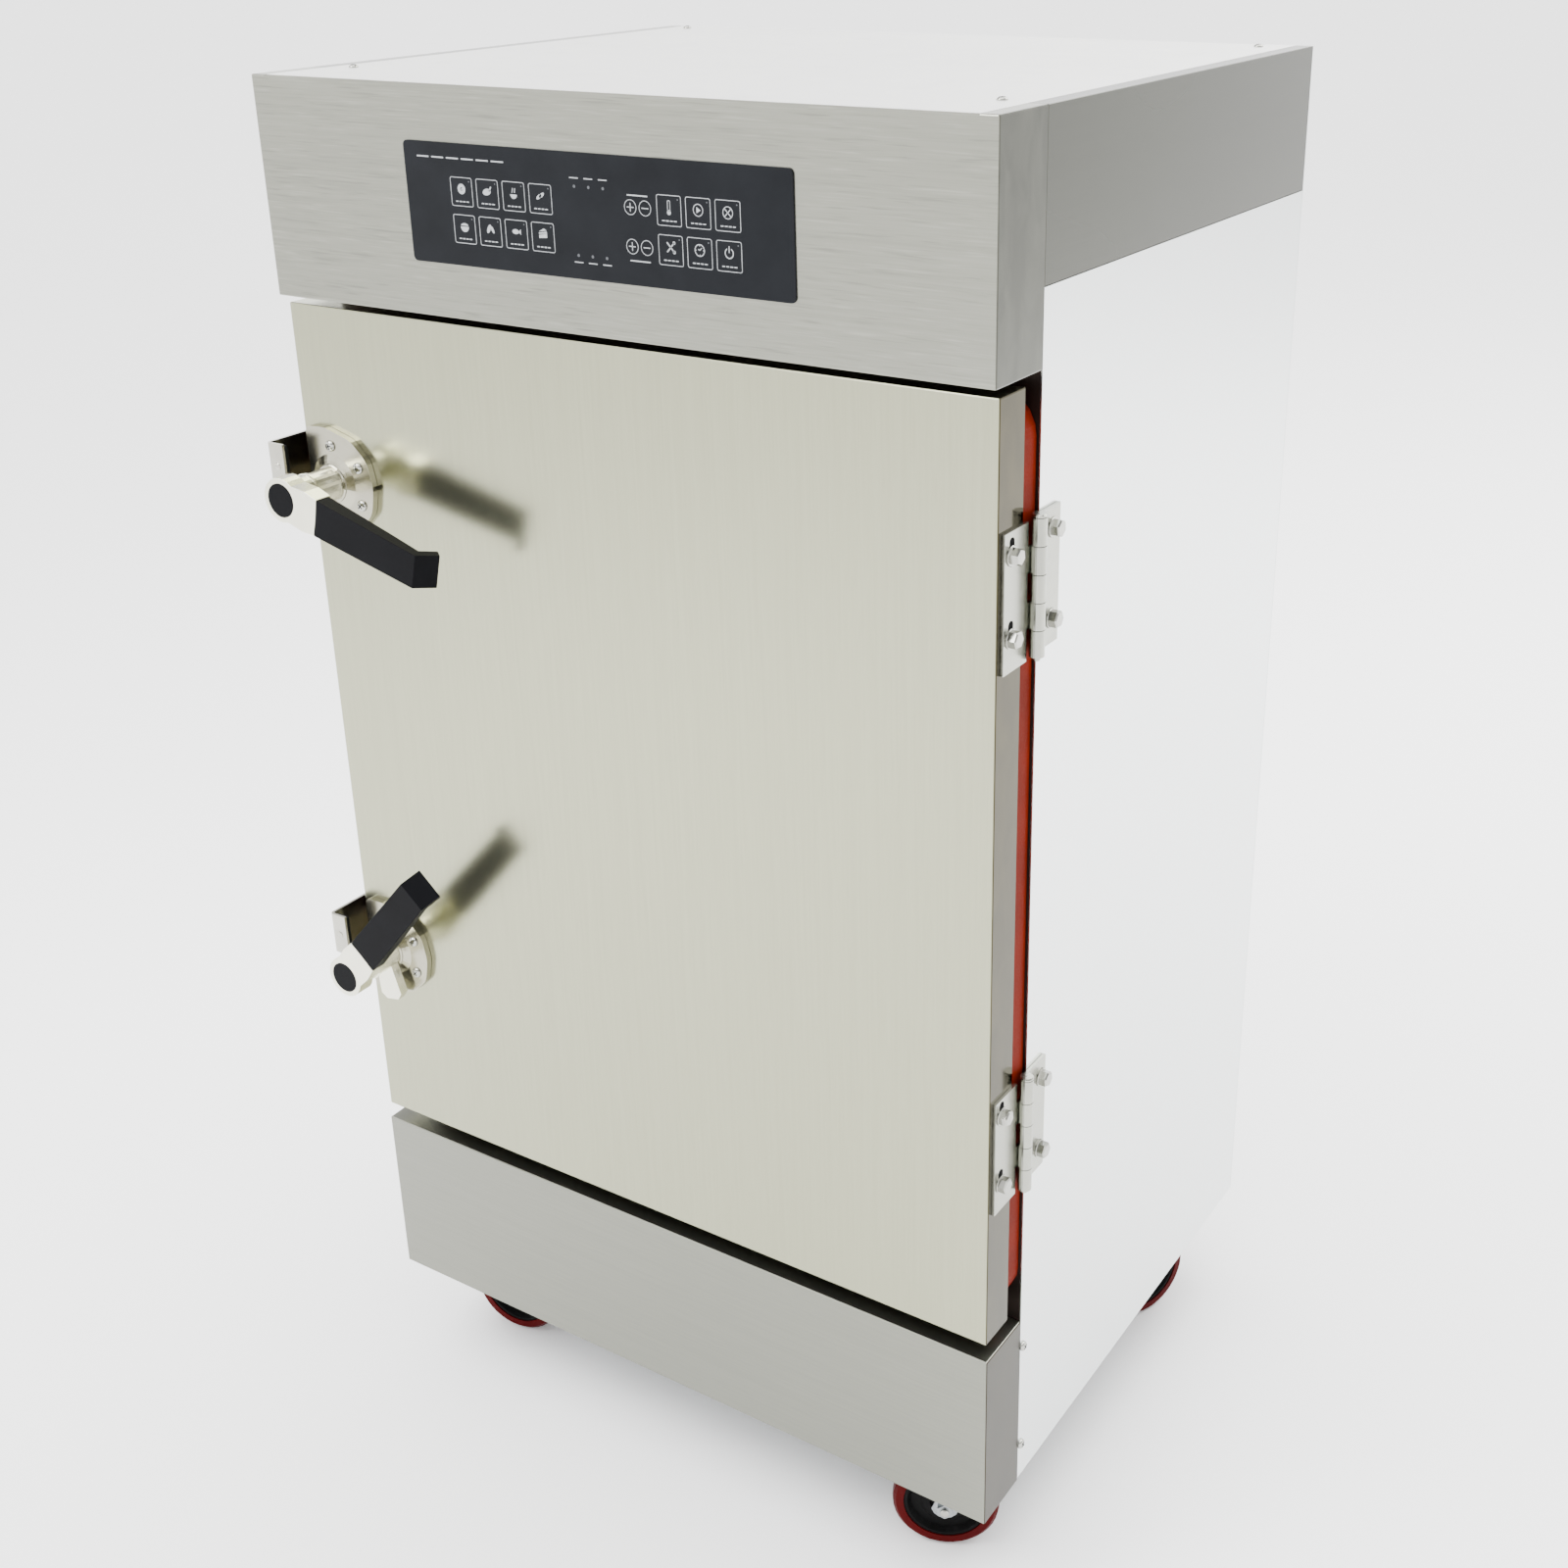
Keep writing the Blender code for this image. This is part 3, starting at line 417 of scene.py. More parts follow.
def ring(centre: Point, radius: float, sides: int = 24) -> list[Point]:
    """Points of a circle."""
    return arc(centre, radius, 0.0, 360.0, sides)[:-1]


def oval(centre: Point, half: Point, turn: float = 0.0, sides: int = 18) -> list[Point]:
    """Points of an ellipse turned by an angle in degrees."""
    bend = math.radians(turn)
    points = []
    for x, y in ring((0.0, 0.0), 1.0, sides):
        x, y = x * half[0], y * half[1]
        points.append((centre[0] + x * math.cos(bend) - y * math.sin(bend),
                       centre[1] + x * math.sin(bend) + y * math.cos(bend)))
    return points


def rounded_box(centre: Point, half: Point, radius: float, steps: int = 4) -> list[Point]:
    """Points of a rectangle with rounded corners."""
    x, y = half[0] - radius, half[1] - radius
    points = []
    for turn, (cx, cy) in enumerate(((x, y), (-x, y), (-x, -y), (x, -y))):
        points += arc((centre[0] + cx, centre[1] + cy), radius, turn * 90, turn * 90 + 90, steps)
    return points


def bar(start: Point, end: Point, width: float) -> list[Point]:
    """The outline of a straight bar between two points."""
    along = (Vector(end) - Vector(start)).normalized()
    across = Vector((-along.y, along.x)) * width / 2
    corners = (Vector(start) - across, Vector(end) - across,
               Vector(end) + across, Vector(start) + across)
    return [tuple(corner) for corner in corners]


def moved(outline: Iterable[Point], by: Point) -> list[Point]:
    """An outline shifted in its plane."""
    return [(x + by[0], y + by[1]) for x, y in outline]


def stand_in_scene(name: str, data: bpy.types.ID) -> bpy.types.Object:
    """An object of some data, linked to the scene."""
    made = bpy.data.objects.new(name, data)
    bpy.context.scene.collection.objects.link(made)
    return made


class Shape:
    """A mesh in the making."""

    def __init__(self) -> None:
        """Start empty."""
        self.bm = bmesh.new()

    def prism(self, outline: Sequence[Point], low: float, high: float,
              place: Place = Matrix()) -> "Shape":
        """Add an outline extruded between two heights.

        Args:
            outline: Points of the outline, counter-clockwise.
            low: Height of its lower face.
            high: Height of its upper face.
            place: Where its plane lies.

        Returns:
            The shape itself.
        """
        floor = [self.bm.verts.new(place @ Vector((x, y, low))) for x, y in outline]
        roof = [self.bm.verts.new(place @ Vector((x, y, high))) for x, y in outline]
        self.bm.faces.new(floor[::-1])
        self.bm.faces.new(roof)
        self._wall(floor, roof)
        return self

    def band(self, inner: Sequence[Point], outer: Sequence[Point], low: float, high: float,
             place: Place = Matrix()) -> "Shape":
        """Add a closed band between two outlines that have as many points as each other."""
        loops = []
        for outline, height in ((outer, low), (outer, high), (inner, high), (inner, low)):
            loops.append([self.bm.verts.new(place @ Vector((x, y, height))) for x, y in outline])
        for first, second in zip(loops, loops[1:] + loops[:1]):
            self._wall(first, second)
        return self

    def lathe(self, profile: Sequence[Point], place: Place = Matrix(),
              sides: int = 28) -> "Shape":
        """Add a solid turned about the local Z axis.

        Args:
            profile: Radius and height down its outer side, from the axis back to the axis.
            place: Where its axis lies.
            sides: Number of sides.

        Returns:
            The shape itself.
        """
        loops = []
        for radius, height in profile:
            if radius <= 0:
                loops.append([self.bm.verts.new(place @ Vector((0, 0, height)))])
                continue
            loops.append([
                self.bm.verts.new(place @ Vector((x, y, height)))
                for x, y in ring((0.0, 0.0), radius, sides)
            ])
        if len(loops[0]) > 1:
            loops.append(loops[0])
        for upper, lower in zip(loops, loops[1:]):
            self._wall(lower, upper)
        return self

    def _wall(self, lower: list, upper: list) -> None:
        """Join two loops, either of which may be a single point, with faces."""
        count = max(len(lower), len(upper))
        for i in range(count):
            k = (i + 1) % count
            if len(lower) == 1:
                self.bm.faces.new((lower[0], upper[k], upper[i]))
            elif len(upper) == 1:
                self.bm.faces.new((lower[i], lower[k], upper[0]))
            else:
                self.bm.faces.new((lower[i], lower[k], upper[k], upper[i]))

    def piece(self, name: str, finish: Finish, body: str, slot: str) -> None:
        """Turn the shape into a piece that rides on a body.

        Args:
            name: The piece's name.
            finish: Its finish.
            body: The body that it rides on.
            slot: The record's slot that it goes with; not used.
        """
        bmesh.ops.recalc_face_normals(self.bm, faces=self.bm.faces)
        mesh = bpy.data.meshes.new(name)
        self.bm.to_mesh(mesh)
        self.bm.free()
        mesh.shade_smooth()
        mesh.set_sharp_from_angle(angle=math.radians(35))
        mesh.materials.append(finish.material())
        made = stand_in_scene(name, mesh)
        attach(made, body)


def facing_front(x: float, y: float, z: float, turn: float = 0.0) -> Place:
    """Local +Z looks out of the front; turn is counter-clockwise in view, in degrees."""
    return (Matrix.Translation((x, y, z)) @ Matrix.Rotation(math.radians(90), 4, "X")
            @ Matrix.Rotation(math.radians(turn), 4, "Z"))


def facing_back(x: float, y: float, z: float) -> Place:
    """Local +Z looks out of the back."""
    return Matrix.Translation((x, y, z)) @ Matrix.Rotation(math.radians(-90), 4, "X")


def facing_side(x: float, y: float, z: float, hand: Hand) -> Place:
    """Local +Z looks out of the left or right side."""
    return Matrix.Translation((x, y, z)) @ Matrix.Rotation(math.radians(90 * hand.value), 4, "Y")


def facing_up(x: float, y: float, z: float) -> Place:
    """Local +Z looks up."""
    return Matrix.Translation((x, y, z))


def joint_at(name: str) -> tuple[Vector, Vector]:
    """A joint's position and axis."""
    joint = next(j for j in frame["joints"] if j["name"] == name)
    return Vector(joint["pos_m"]), Vector(joint["axis"])


def dress(finish: Finish, nodes: Iterable[str]) -> None:
    """Give CAD nodes their finish."""
    for node in nodes:
        for slot in frame["nodes"][node].material_slots:
            slot.material = finish.material()
        LOG.info("dressed %s in %s", node, finish.name)


# --- Fasteners -----------------------------------------------------------
@dataclass
class HexBolt:
    """Hexagon-head bolt on a plain washer."""

    flats: float = 0.010
    height: float = 0.0042
    washer: float = 0.0066
    turn: float = 12.0

    def build(self, name: str, place: Place, body: str, slot: str) -> None:
        """Make one bolt, with the arguments of a screw."""
        shape = Shape()
        rim = 0.0012
        shape.lathe(((0.0, rim), (self.washer - 0.0003, rim), (self.washer, rim - 0.0003),
                     (self.washer, HAIR), (0.0, HAIR)), place, 28)
        corner = self.flats / 2 / math.cos(math.radians(30))
        spun = place @ Matrix.Rotation(math.radians(self.turn), 4, "Z")
        loops = []
        for reach, high in ((corner, rim), (corner, rim + self.height * 0.82),
                            (self.flats / 2 * 0.97, rim + self.height)):
            loops.append([
                shape.bm.verts.new(spun @ Vector((x, y, high)))
                for x, y in ring((0.0, 0.0), reach, 6)
            ])
        shape.bm.faces.new(loops[0][::-1])
        shape.bm.faces.new(loops[2])
        for lower, upper in zip(loops, loops[1:]):
            for i in range(6):
                k = (i + 1) % 6
                shape.bm.faces.new((lower[i], lower[k], upper[k], upper[i]))
        shape.piece(name, BOLT_STEEL, body, slot)


@dataclass
class PanScrew:
    """Pan-head screw with a cross recess."""

    radius: float = 0.0050
    height: float = 0.0028
    turn: float = 20.0

    def build(self, name: str, place: Place, body: str, slot: str) -> None:
        """Make one screw and a black cross in its head, which is painted shade for the cross recess.

        Args:
            name: The screw's name.
            place: The seat, with local +Z pointing out of it.
            body: The body that it rides on.
            slot: The slot that it goes with; passed on, but not used.
        """
        r, h = self.radius, self.height
        dome = [(0.0, h), (r * 0.45, h * 0.97), (r * 0.75, h * 0.82), (r * 0.93, h * 0.52),
                (r, h * 0.2), (r, HAIR), (0.0, HAIR)]
        Shape().lathe(dome, place, 24).piece(name, BOLT_STEEL, body, slot)
        spun = place @ Matrix.Rotation(math.radians(self.turn), 4, "Z")
        # The cross is a black inlay: painted shade standing for the recess.
        cross = Shape()
        for start, end in (((-r * 0.52, 0.0), (r * 0.52, 0.0)), ((0.0, -r * 0.52), (0.0, r * 0.52))):
            cross.prism(bar(start, end, r * 0.2), h * 0.6, h + 0.00006, spun)
        cross.piece(f"{name}_cross", RECESS_SHADE, body, slot)


@dataclass
class Rivet:
    """Domed rivet head."""

    radius: float = 0.0042
    height: float = 0.0018

    def build(self, name: str, place: Place, body: str, slot: str,
              finish: Finish = KEEPER_NICKEL) -> None:
        """Make one rivet head."""
        r, h = self.radius, self.height
        dome = [(0.0, h), (r * 0.5, h * 0.92), (r * 0.85, h * 0.6), (r, h * 0.15), (r, HAIR),
                (0.0, HAIR)]
        Shape().lathe(dome, place, 22).piece(name, finish, body, slot)


# --- Sub-assemblies ------------------------------------------------------
@dataclass
class CabinetBody:
    """Sheet-metal body with its screws."""

    top_screws: tuple[float, float, float] = (0.3103, 0.0768, 0.5456)
    kick_screws: tuple[float, float, float] = (0.074, 0.259, 0.147)
    back_rows: int = 5

    def dress(self) -> None:
        """Give the panels their finishes."""
        dress(FASCIA_STEEL, ["fascia"])
        dress(KICK_STEEL, ["kick_panel"])
        # The header panels' dark colour is painted shade.
        dress(SHADED_HEADER_STEEL, ["left_header_panel", "right_header_panel"])
        dress(COVER_STEEL, ["top_cover"])
        dress(BODY_STEEL, ["left_side_panel", "right_side_panel", "back_panel"])
        # The front frame's dark colour is painted shade.
        dress(SHADED_FRAME_STEEL, ["front_frame"])
        dress(ZINC_PLATE, ["base_frame"])

    def build(self) -> None:
        """Add the screws of the top cover, the kick panel and the back panel."""
        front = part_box("fascia")[0].y
        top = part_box("top_cover")[1].z
        x, near, far = self.top_screws
        for hand in Hand:
            for name, y in (("front", near), ("rear", far)):
                place = facing_up(hand.value * x, front + y, top)
                PanScrew(0.0042, 0.0024).build(f"top_screw_{hand.name}_{name}", place, "cabinet",
                                               "top_cover")
        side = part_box("right_side_panel")[1].x
        y, *heights = self.kick_screws
        for hand in Hand:
            for index, z in enumerate(heights):
                place = facing_side(hand.value * side, front + y, z, hand)
                PanScrew(0.0046, 0.0030, 35.0).build(f"kick_screw_{hand.name}_{index}", place,
                                                     "cabinet", "kick_panel")
        self._back()

    def _back(self) -> None:
        """Add the back panel's screws, the element's cover and the vent slots, with painted shade in
        them.
        """
        low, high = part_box("back_panel")
        for hand in Hand:
            for row in range(self.back_rows):
                z = low.z + 0.018 + (high.z - low.z - 0.036) * row / (self.back_rows - 1)
                place = facing_back(hand.value * (high.x - 0.010), high.y, z)
                PanScrew(0.0040, 0.0022, 10.0 * row).build(f"back_screw_{hand.name}_{row}", place,
                                                           "cabinet", "back_panel")
        cover = facing_back(0.060, high.y, 0.215)
        plate = Shape()
        plate.prism(rounded_box((0, 0), (0.078, 0.052), 0.006), HAIR, 0.0012, cover)
        # The element's cover reuses the header's darkened steel, whose colour is painted shade.
        plate.piece("element_cover", SHADED_HEADER_STEEL, "cabinet", "back_panel")
        for index, (x, y) in enumerate(((-0.07, -0.044), (0.07, -0.044), (0.07, 0.044),
                                        (-0.07, 0.044))):
            place = cover @ Matrix.Translation((x, y, 0.0011))
            PanScrew(0.0032, 0.0018, 25.0 * index).build(f"cover_screw_{index}", place, "cabinet",
                                                         "back_panel")
        # The slots are flat black strips under the louvres: painted shade for the openings.
        slots = Shape()
        lips = Shape()
        for column in range(2):
            for row in range(6):
                place = facing_back(-0.20 + 0.11 * column, high.y, 1.215 + 0.013 * row)
                slots.prism(rounded_box((0, -0.0022), (0.040, 0.0016), 0.0015), HAIR, 0.0003, place)
                lips.prism(rounded_box((0, 0.0010), (0.040, 0.0024), 0.0020), HAIR, 0.0028, place)
        slots.piece("vent_slots", RECESS_SHADE, "cabinet", "back_panel")
        lips.piece("vent_louvres", BODY_STEEL, "cabinet", "back_panel")


@dataclass(frozen=True)
class Icon:
    """A key's icon: closed lines, then filled outlines, all round its middle."""

    fills: Sequence[Sequence[Point]]
    lines: Sequence[tuple[Sequence[Point], Sequence[Point]]] = ()


def circle(radius: float, width: float, centre: Point = (0.0, 0.0)) -> tuple[list, list]:
    """The inner and outer outline of a circle drawn in a line of this width."""
    return ring(centre, radius - width), ring(centre, radius)


def crossed(reach: Point, width: float) -> list[list[Point]]:
    """Two crossed bars."""
    x, y = reach
    return [bar((-x, -y * lean), (x, y * lean), width) for lean in (1.0, -1.0)]


STEAMED_BUN = Icon([oval((0.0004, 0.0), (0.0010, 0.0006), 40, 10)], [circle(0.0040, 0.0026)])
ROAST = Icon([oval((-0.0006, -0.0006), (0.0042, 0.0025), 12),
              bar((0.0018, 0.0), (0.0040, 0.0036), 0.0012)])
STEAMING_POT = Icon([arc((0.0, -0.0006), 0.0034, 180, 360, 10),
                     bar((-0.0014, 0.0006), (-0.0006, 0.0042), 0.0008),
                     bar((0.0010, 0.0006), (0.0018, 0.0042), 0.0008)])
LOAF = Icon([oval((shift, shift * 0.5), (0.0031, 0.0014), 35) for shift in (-0.0013, 0.0013)])
HEAPED_BOWL = Icon([arc((0.0, -0.0002), 0.0042, 180, 360, 12),
                    [(x, 0.0006 + y * 0.5) for x, y in arc((0.0, 0.0), 0.0038, 0, 180, 10)]])
LEAVES = Icon([oval((-0.0014, 0.0), (0.0038, 0.0016), 62),
               oval((0.0022, -0.0004), (0.0030, 0.0012), 118)])
FISH = Icon([oval((-0.0008, 0.0), (0.0034, 0.0019)),
             [(0.0020, 0.0), (0.0046, -0.0022), (0.0046, 0.0022)]])
CAKE = Icon([[(-0.0040, low), (0.0040, low + 0.0006), (0.0040, high + 0.0012), (-0.0040, high)]
             for low, high in ((-0.0030, -0.0006), (0.0002, 0.0012))]
            + [[(-0.0040, 0.0020), (0.0040, 0.0032), (0.0012, 0.0046)]])
THERMOMETER = Icon([ring((0.0, -0.0036), 0.0018, 16)],
                   [(rounded_box((0.0, 0.0012), (0.0009, 0.0036), 0.0008),
                     rounded_box((0.0, 0.0012), (0.0014, 0.0041), 0.0013))])
START = Icon([[(-0.0014, -0.0022), (0.0024, 0.0), (-0.0014, 0.0022)]], [circle(0.0046, 0.0006)])
STOP = Icon(crossed((0.0029, 0.0029), 0.0007), [circle(0.0046, 0.0006)])
TOOLS = Icon(crossed((0.0034, 0.0036), 0.0011)
             + [ring((0.0032, 0.0034 * lean), 0.0013, 12) for lean in (1.0, -1.0)])
CLOCK = Icon([ring(point, 0.0004, 8) for point in ring((0.0, 0.0), 0.0034, 4)]
             + [bar((0.0, 0.0), (0.0018, 0.0018), 0.0007), bar((0.0, 0.0), (-0.0014, 0.0008), 0.0007)],
             [circle(0.0046, 0.0007)])
POWER = Icon([arc((0.0, 0.0), 0.0040, 120, 420, 20) + arc((0.0, 0.0), 0.0032, 420, 120, 20),
              bar((0.0, 0.0004), (0.0, 0.0052), 0.0008)])
FOOD_ICONS = (STEAMED_BUN, ROAST, STEAMING_POT, LOAF, HEAPED_BOWL, LEAVES, FISH, CAKE)
RUN_ICONS = (THERMOMETER, START, STOP, TOOLS, CLOCK, POWER)


@dataclass
class ControlPanel:
    """Touch panel: film, keys, icons and indicator dots."""

    left_keys: tuple[float, float, int] = (-0.1255, 0.0268, 4)
    right_keys: tuple[float, float, int] = (0.0777, 0.0265, 3)
    rows: tuple[float, float] = (1.2378, 1.2090)
    key_half: Point = (0.0113, 0.0112)
    line: float = 0.0005
    dots: tuple[float, float, int] = (-0.0109, 0.0138, 3)
    dot_rows: tuple[float, float] = (1.2495, 1.1981)
    setters: tuple[float, float] = (0.0418, 0.0555)
    setter_radius: float = 0.0057
    plane: Matrix = field(default_factory=Matrix)

    def dress(self) -> None:
        """Give the film and the board behind it their finishes."""
        dress(PANEL_FILM, ["control_overlay"])
        dress(BOARD_GREEN, ["control_board"])

    def build(self) -> None:
        """Print the keys with their icons, the setting keys and the dots."""
        self.plane = facing_front(0.0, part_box("control_overlay")[0].y, 0.0)
        for group, (start, pitch, count), icons in (("food", self.left_keys, FOOD_ICONS),
                                                    ("run", self.right_keys, RUN_ICONS)):
            for index, icon in enumerate(icons):
                x = start + pitch * (index % count)
                z = self.rows[index // count]
                self._key(f"{group}_{index}", (x, z))
                self._icon(f"{group}_icon_{index}", icon, (x, z + 0.0022))
        self._setting_keys()
        self._dots()
        self._rules()
        self._chips()

    def _icon(self, name: str, icon: Icon, at: Point) -> None:
        """Print one icon."""
        mark = Shape()
        for inner, outer in icon.lines:
            self._loop(mark, moved(inner, at), moved(outer, at))
        for outline in icon.fills:
            self._spot(mark, moved(outline, at))
        self._ink(mark, name)

    def _ink(self, shape: Shape, name: str, finish: Finish = PANEL_INK) -> None:
        """Turn printed marks into a piece."""
        shape.piece(name, finish, "cabinet", "control_overlay")

    def _spot(self, shape: Shape, outline: Sequence[Point]) -> None:
        """Print a filled outline."""
        shape.prism(outline, HAIR * 0.4, HAIR, self.plane)

    def _loop(self, shape: Shape, inner: Sequence[Point], outer: Sequence[Point]) -> None:
        """Print a closed line."""
        shape.band(inner, outer, HAIR * 0.4, HAIR, self.plane)

    def _key(self, name: str, at: Point) -> None:
        """Print one key's frame, its small lamp and its caption dashes."""
        frame_line = Shape()
        half = self.key_half
        inner = (half[0] - self.line, half[1] - self.line)
        self._loop(frame_line, rounded_box(at, inner, 0.0012), rounded_box(at, half, 0.0017))
        dash, gap = 0.0026, 0.0010
        for index in range(4):
            x = at[0] - 1.5 * (dash + gap) + index * (dash + gap)
            self._spot(frame_line, bar((x - dash / 2, at[1] - 0.0075), (x + dash / 2, at[1] - 0.0075),
                                       0.0009))
        self._ink(frame_line, f"key_{name}")
        lamp = Shape()
        self._spot(lamp, ring((at[0] + 0.0082, at[1] + 0.0082), 0.0006, 10))
        self._ink(lamp, f"key_lamp_{name}", DIM_INK)

    def _setting_keys(self) -> None:
        """Print the round plus and minus keys."""
        for row, z in enumerate(self.rows):
            for sign, x in zip((1, -1), self.setters):
                mark = Shape()
                self._loop(mark, *circle(self.setter_radius, self.line, (x, z)))
                self._spot(mark, bar((x - 0.0032, z), (x + 0.0032, z), 0.0007))
                if sign > 0:
                    self._spot(mark, bar((x, z - 0.0032), (x, z + 0.0032), 0.0007))
                self._ink(mark, f"setting_key_{row}_{'plus' if sign > 0 else 'minus'}")

    def _dots(self) -> None:
        """Print the indicator windows."""
        start, pitch, count = self.dots
        for row, z in enumerate(self.dot_rows):
            for index in range(count):
                dot = Shape()
                self._spot(dot, ring((start + pitch * index, z), 0.0012, 14))
                self._ink(dot, f"indicator_{row}_{index}", DIM_INK)

    def _rules(self) -> None:
        """Print plain rules where the panel carries captions."""
        rules = Shape()
        low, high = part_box("control_overlay")
        y = high.z - 0.0115
        for index in range(6):
            x = low.x + 0.014 + 0.0155 * index
            self._spot(rules, bar((x, y), (x + 0.0125, y), 0.0011))
        for x, z in ((0.0487, 1.2466), (0.0487, 1.1985)):
            self._spot(rules, bar((x - 0.0095, z), (x + 0.0095, z), 0.0010))
        start, pitch, count = self.dots
        for z, shift in zip(self.dot_rows, (0.0062, -0.0052)):
            for index in range(count):
                x = start + pitch * index
                self._spot(rules, bar((x - 0.0042, z + shift), (x + 0.0042, z + shift), 0.0008))
        self._ink(rules, "caption_rules")

    def _chips(self) -> None:
        """Set chips on the board behind the panel."""
        low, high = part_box("control_board")
        chips = Shape()
        for column in range(5):
            for row in range(2):
                at = (low.x + 0.045 + 0.062 * column, low.z + 0.022 + 0.034 * row)
                place = facing_back(at[0], high.y, at[1])
                chips.prism(rounded_box((0, 0), (0.011, 0.007), 0.001), HAIR, 0.0035, place)
        chips.piece("board_chips", CHIP_BLACK, "cabinet", "control_board")


@dataclass
class Door:
    """Insulated door."""

    rivet_rows: int = 4
    lip_inset: float = 0.0085

    def dress(self) -> None:
        """Give the door's parts their finishes."""
        dress(DOOR_STEEL, ["door_shell"])
        dress(WOOL, ["door_insulation"])
        dress(LINER_STEEL, ["door_inner_panel"])
        dress(SILICONE, ["door_gasket"])

    def build(self) -> None:
        """Add the gasket's lip and the inner panel's rivets."""
        low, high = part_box("door_gasket")
        centre = (0.0, -(low.z + high.z) / 2)
        half = ((high.x - low.x) / 2 - self.lip_inset, (high.z - low.z) / 2 - self.lip_inset)
        inner = rounded_box(centre, (half[0] - 0.003, half[1] - 0.003), 0.024, 6)
        outer = rounded_box(centre, half, 0.027, 6)
        lip = Shape().band(inner, outer, -0.0004, 0.00012, facing_back(0.0, high.y, 0.0))
        lip.piece("gasket_lip", SILICONE, "door", "door_gasket")
        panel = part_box("door_inner_panel")
        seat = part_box("door_shell")[1].y
        for hand in Hand:
            for row in range(self.rivet_rows):
                z = panel[0].z + 0.006 + (panel[1].z - panel[0].z - 0.012) * row / (self.rivet_rows - 1)
                place = facing_back(hand.value * (panel[1].x - 0.0030), seat - 0.0012, z)
                Rivet(0.0022, 0.0009).build(f"door_rivet_{hand.name}_{row}", place, "door",
                                            "door_inner_panel", BOLT_STEEL)


@dataclass
class Hinge:
    """Five-knuckle hinge with two bolts in each leaf."""

    level: Level
    body_bolts: tuple[float, float, float]
    door_bolts: tuple[float, float, float]

    def dress(self) -> None:
        """Give the leaves and the pin their finish."""
        name = self.level.value
        dress(HINGE_STEEL, [f"{name}_hinge_body_leaf", f"{name}_hinge_door_leaf",
                            f"{name}_hinge_pin"])

    def build(self) -> None:
        """Add the bolts, and painted shade for the slots that show above the door leaf's bolts."""
        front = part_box("fascia")[0].y
        name = self.level.value
        for leaf, body, (y, *heights) in (("body", "cabinet", self.body_bolts),
                                          ("door", "door", self.door_bolts)):
            node = f"{name}_hinge_{leaf}_leaf"
            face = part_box(node)[0].x + 0.0025
            for index, z in enumerate(heights):
                place = facing_side(face, front + y, z, Hand.RIGHT)
                HexBolt(0.0122, 0.0066, 0.0080, 17.0 * index + 8.0).build(
                    f"{name}_{leaf}_bolt_{index}", place, body, node)
                if leaf == "door":
                    # Each slot is a flat black patch: painted shade standing for the opening.
                    slot = Shape()
                    outline = rounded_box((-0.0052, 0.0), (0.0086, 0.0036), 0.0035, 6)
                    slot.prism(outline, HAIR * 0.3, HAIR * 0.8, place)
                    slot.piece(f"{name}_door_slot_{index}", RECESS_SHADE, body, node)


@dataclass
class Latch:
    """Compression latch: base with four screws, lever with grip and cap."""

    level: Level
    screws: tuple[Point, ...] = ((0.0, 0.033), (0.0, -0.033), (0.031, 0.017), (0.031, -0.017))

    def dress(self) -> None:
        """Give the latch's parts their finishes."""
        name = self.level.value
        dress(LATCH_NICKEL, [f"{name}_latch_base"])
        dress(HEAD_NICKEL, [f"{name}_latch_lever"])
        dress(BLACK_GRIP, [f"{name}_latch_grip", f"{name}_latch_cap"])

    def build(self) -> None:
        """Add the base's screws and the ring under the lever's head."""
        name = self.level.value
        x, _, z = joint_at(f"{name}_latch_turn")[0]
        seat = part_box("door_shell")[0].y - 0.0064
        for index, (dx, dz) in enumerate(self.screws):
            place = facing_front(x + dx, seat, z + dz)
            PanScrew(0.0051, 0.0030, 15.0 + 40.0 * index).build(
                f"{name}_base_screw_{index}", place, "door", f"{name}_latch_base")
        hub = facing_front(x, seat, z)
        collar = Shape()
        collar.lathe(((0.0151, 0.0330), (0.0162, 0.0326), (0.0162, 0.0306), (0.0151, 0.0302)), hub)
        collar.piece(f"{name}_hub_collar", HEAD_NICKEL, f"{name}_latch", f"{name}_latch_lever")


@dataclass
class Keeper:
    """Hook that the latch's tongue pulls against."""

    level: Level

    def dress(self) -> None:
        """Give the keeper its finish."""
        dress(KEEPER_NICKEL, [f"{self.level.value}_keeper"])

    def build(self) -> None:
        """Add the rubbing pad, its rivet and the rivets of the foot."""
        node = f"{self.level.value}_keeper"
        low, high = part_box(node)
        middle = (low.z + high.z) / 2
        face = low.y + 0.0025
        back = facing_back((low.x + high.x) / 2 + 0.0012, face, middle)
        pad = Shape()
        half = ((high.x - low.x) / 2 - 0.0022, (high.z - low.z) / 2 - 0.0020)
        pad.prism(rounded_box((0, 0), half, 0.0015), HAIR, 0.0042, back)
        pad.piece(f"{node}_pad", KEEPER_PAD, "cabinet", node)
        front = facing_front((low.x + high.x) / 2 + 0.0012, low.y, middle)
        Rivet(0.0036, 0.0012).build(f"{node}_rivet", front, "cabinet", node)
        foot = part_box("left_side_panel")[0].x - 0.0028
        for index, rise in enumerate((-0.012, 0.012)):
            place = facing_side(foot, high.y - 0.014, middle + rise, Hand.LEFT)
            Rivet(0.0040, 0.0016).build(f"{node}_foot_rivet_{index}", place, "cabinet", node)


